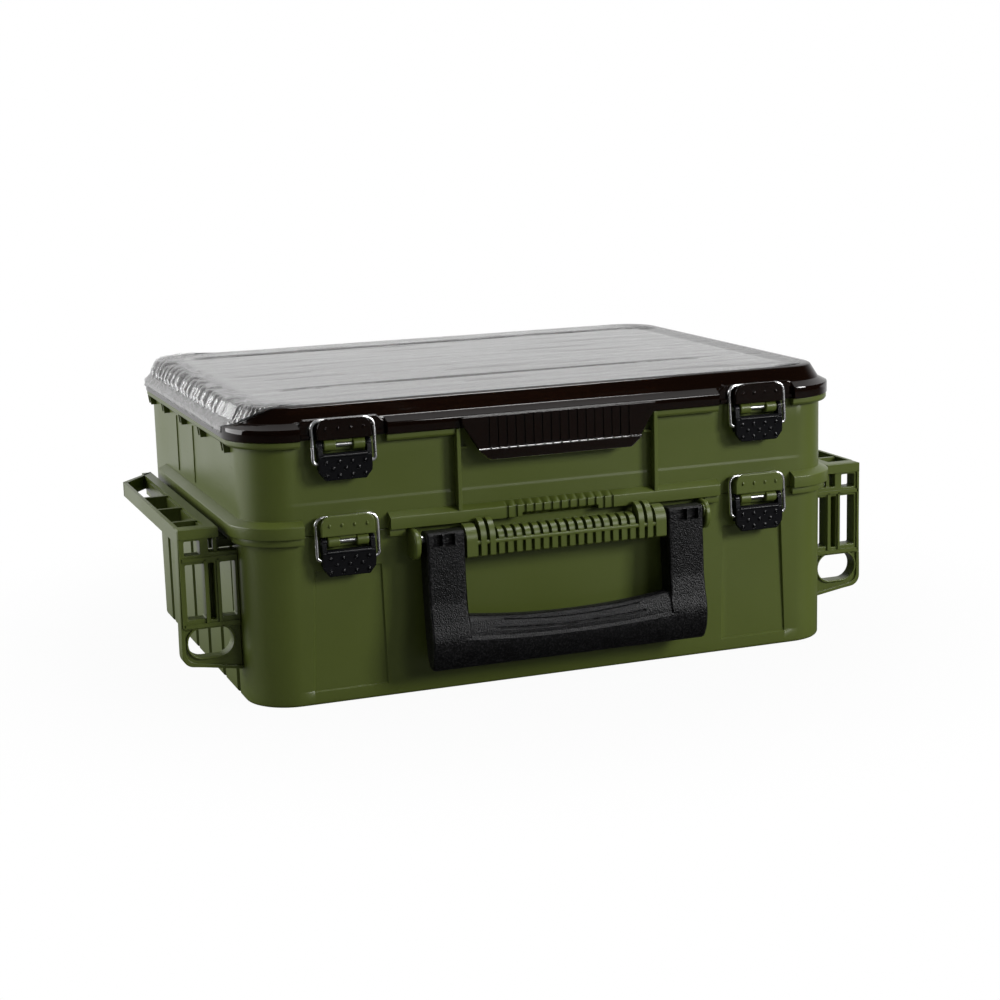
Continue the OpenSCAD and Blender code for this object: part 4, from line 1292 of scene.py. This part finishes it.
def film():
    """Protective film, gathered into pleats on the left border and crumpled beside them.

    A pleat is size * |sin(pi * phase)| ** 0.8. The phase counts pleats of uneven width
    along the columns, and every pleat has a size and a reach over the rows of its own.
    """
    points, outward = film_grid()
    x, y, z = points[..., 0], points[..., 1], points[..., 2]
    i = np.arange(len(points))[:, None]
    sloping = len(outward)

    dice = np.random.default_rng(12)
    width = np.concatenate([
        dice.uniform(3, 6, 10), dice.uniform(9, 16, 10), dice.uniform(6, 11, 11),
        dice.uniform(2.6, 5, 17)])
    knots = np.concatenate([[0], np.cumsum(width)])
    wander = FILM_RUN + 1.8 * pleats(FILM_RUN * 0.03, i * 0.08, 3)
    phase = np.interp(wander, knots, np.arange(len(knots)))
    pick = phase.astype(int)
    size = dice.uniform(0.6, 1.0, len(knots))[pick] * np.append(width, 2.0)[pick] * 0.34
    reach = dice.uniform(38, 50, len(knots))[pick]
    pleat = size * np.abs(np.sin(math.pi * phase)) ** 0.8
    pleat = pleat * smooth(i, 9, 17) * (1 - smooth(i, reach - 10, reach))
    rough = np.abs(pleats(x * 1.3, y * 0.5 + z, 7, 7)) * smooth(i, 32, 40) * (1 - smooth(i, 46, 60))
    corner = smooth(np.abs(y), 100, 128) * (1 - smooth(x, -176, -140))
    rough = rough + 1.1 * np.abs(pleats(x * 0.8, y * 0.8, 11)) * corner
    strip = 1.1 * np.abs(pleats(x * 0.5 + z * 0.9, y * 0.3, 9, 7)) * (1 - smooth(i, 10, 16))
    sag = 0.16 * np.maximum(pleats(x * 0.02, y * 0.45, 5), -0.6) * smooth(i, 50, 62)
    back = GROOVES[0][0]
    groove = between(y, back - 6, back + 6, 3) * smooth(i, 50, 60) * (np.abs(x) < 170)
    crease = np.abs(pleats(x * 0.06, y * 1.6, 21, 6)) * groove
    lift = pleat + 0.7 * rough + strip + 0.9 * crease
    steep = np.where(i < 8, 0.9, 0.75 * (1 - smooth(i, 26, 38)))[:sloping]
    points[..., 2] = z + lift * np.where(i < HANG + 1, 0.1, 0.8) + sag
    points[:sloping, :, :2] += outward * (lift[:sloping] * steep)[..., None]
    return points


def lid():
    """The smoked lid, its pads and pull tab, and the film on it."""
    make("lid_skin", lid_skin(), LID, SMOKE, stands_for=["lid"], sharp=42)
    make("lid_latch_pads", latch_pad(), LID, SMOKE, bevel=0.3)
    make("lid_pull_tab", pull_tab(), LID, SMOKE, bevel=0.25)
    points = film()
    sheet = make("film_sheet", lattice(points), LID, FILM, stands_for=["lid_film"], heal=False,
                 sharp=80)
    thick = sheet.modifiers.new("thickness", "SOLIDIFY")
    thick.thickness = 0.06 * MM
    thick.offset = 1.0


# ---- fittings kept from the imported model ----


def dress(node, material):
    """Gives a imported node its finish."""
    piece = frame["nodes"][node]
    piece.data.materials.clear()
    piece.data.materials.append(material)


# ---------- stage, light and camera ----------


def camera():
    """Camera of the photograph: place, heading, dip and roll fitted to the box's edges."""
    yaw, dip, roll = (math.radians(a) for a in (20.4925, 11.3604, -1.5631))
    ahead = np.array([math.sin(yaw) * math.cos(dip), math.cos(yaw) * math.cos(dip), -math.sin(dip)])
    right = np.array([math.cos(yaw), -math.sin(yaw), 0.0])
    up = np.cross(right, ahead)
    across = math.cos(roll) * right + math.sin(roll) * up
    upright = -math.sin(roll) * right + math.cos(roll) * up
    lens = bpy.data.cameras.new("camera")
    lens.lens = 73.36
    lens.sensor_width = 36.0
    lens.clip_start = 0.05
    lens.clip_end = 60
    eye = bpy.data.objects.new("camera", lens)
    bpy.context.scene.collection.objects.link(eye)
    turned = np.eye(4)
    turned[:3, 0] = across
    turned[:3, 1] = upright
    turned[:3, 2] = -ahead
    turned[:3, 3] = np.array([-473.396, -1312.412, 366.589]) * MM
    eye.matrix_world = turned.T.tolist()
    bpy.context.scene.camera = eye


def area_light(name, place, target, width, height, power):
    """A soft box that faces a target."""
    data = bpy.data.lights.new(name, "AREA")
    data.shape = "RECTANGLE"
    data.size = width
    data.size_y = height
    data.energy = power
    lamp = bpy.data.objects.new(name, data)
    bpy.context.scene.collection.objects.link(lamp)
    lamp.location = place
    aim = bpy.context.scene.camera.matrix_world.translation.copy()
    aim.xyz = target
    lamp.rotation_mode = "QUATERNION"
    lamp.rotation_quaternion = (aim - lamp.location).to_track_quat("-Z", "Y")


WHITE = (1, 1, 1, 1)


def mixed(tree, part, first, second):
    """Two shaders, of which part is the second's share."""
    return add(tree, "ShaderNodeMixShader", [(0, part), (1, first), (2, second)]).outputs[0]


def world():
    """White backdrop behind, a dim room in front; only lamps and this ambient light the box."""
    sky = bpy.data.worlds.new("studio")
    sky.use_nodes = True
    bpy.context.scene.world = sky
    tree = sky.node_tree
    tree.nodes.clear()

    def glow(strength):
        return add(tree, "ShaderNodeBackground", [("Color", WHITE), ("Strength", strength)]).outputs[0]

    where = add(tree, "ShaderNodeTexCoord").outputs["Generated"]
    depth = add(tree, "ShaderNodeSeparateXYZ", [(0, where)]).outputs["Y"]
    behind = ranged(tree, depth, 0.0, 0.75, 0.02, 0.76, "SMOOTHSTEP")
    path = add(tree, "ShaderNodeLightPath").outputs
    shiny = maths(tree, "MAXIMUM", path["Is Glossy Ray"], path["Is Transmission Ray"])
    unseen = mixed(tree, shiny, glow(0.12), glow(behind))
    add(tree, "ShaderNodeOutputWorld", [
        ("Surface", mixed(tree, path["Is Camera Ray"], unseen, glow(1.0)))])


def floor():
    """Pale floor: white to the camera, and to what mirrors it from behind the box.

    Elsewhere it is a plain grey surface, so that it doesn't light the front from below.
    """
    half = 12.0
    mesh = bpy.data.meshes.new("floor")
    mesh.from_pydata([(-half, -half, 0), (half, -half, 0), (half, half, 0), (-half, half, 0)], [],
                     [(0, 1, 2, 3)])
    ground = bpy.data.objects.new("floor", mesh)
    bpy.context.scene.collection.objects.link(ground)
    made, tree, shader = blank("pale_floor")
    shader.inputs["Roughness"].default_value = 0.9
    shader.inputs["Specular IOR Level"].default_value = 0.1
    where = add(tree, "ShaderNodeTexCoord").outputs["Object"]
    reach = add(tree, "ShaderNodeVectorMath", [(0, where)], operation="LENGTH").outputs["Value"]
    far = ranged(tree, reach, 0.2, 0.45, 0.96, 1.0, "SMOOTHSTEP")
    depth = add(tree, "ShaderNodeSeparateXYZ", [(0, where)]).outputs["Y"]
    behind = ranged(tree, depth, -0.2, 0.6, 0.0, 0.8, "SMOOTHSTEP")
    path = add(tree, "ShaderNodeLightPath").outputs
    grey = ranged(tree, path["Is Glossy Ray"], 0, 1, 0.26, 0.05)
    tree.links.new(grey, shader.inputs["Base Color"])
    amount = maths(
        tree, "MAXIMUM",
        maths(tree, "MULTIPLY", behind, path["Is Glossy Ray"]),
        maths(tree, "MULTIPLY", far, path["Is Camera Ray"]))
    white = add(tree, "ShaderNodeEmission", [("Color", WHITE), ("Strength", 1.0)]).outputs[0]
    tree.links.new(
        mixed(tree, amount, shader.outputs[0], white),
        tree.nodes["Material Output"].inputs["Surface"])
    mesh.materials.append(made)


def lights():
    """A large soft box on the left, two small ones in front and one overhead."""
    area_light("left_softbox", (-2.1, 0.8, 0.8), (0, 0, 0.1), 2.0, 1.7, 56)
    area_light("key", (1.35, -1.4, 0.85), (0, 0, 0.1), 0.5, 0.5, 29)
    area_light("front_softbox", (0.85, -2.1, 0.82), (0, 0, 0.08), 0.5, 0.4, 7)
    area_light("overhead_softbox", (0.6, -0.2, 2.0), (0, -0.1, 0.1), 1.2, 0.5, 22)


bpy.context.scene.view_settings.view_transform = "Standard"

camera()
world()
floor()
lights()

bin_and_tray()
handle()
brackets()
hinges()
latches()
lid()

for node in ("handle_pins", "lower_latch_pins", "upper_latch_pins", "tray_hinge_rods", "lid_hinge_rods"):
    dress(node, PIN)
for node in ("tray_divider_long", "tray_dividers_cross"):
    dress(node, DIVIDER)
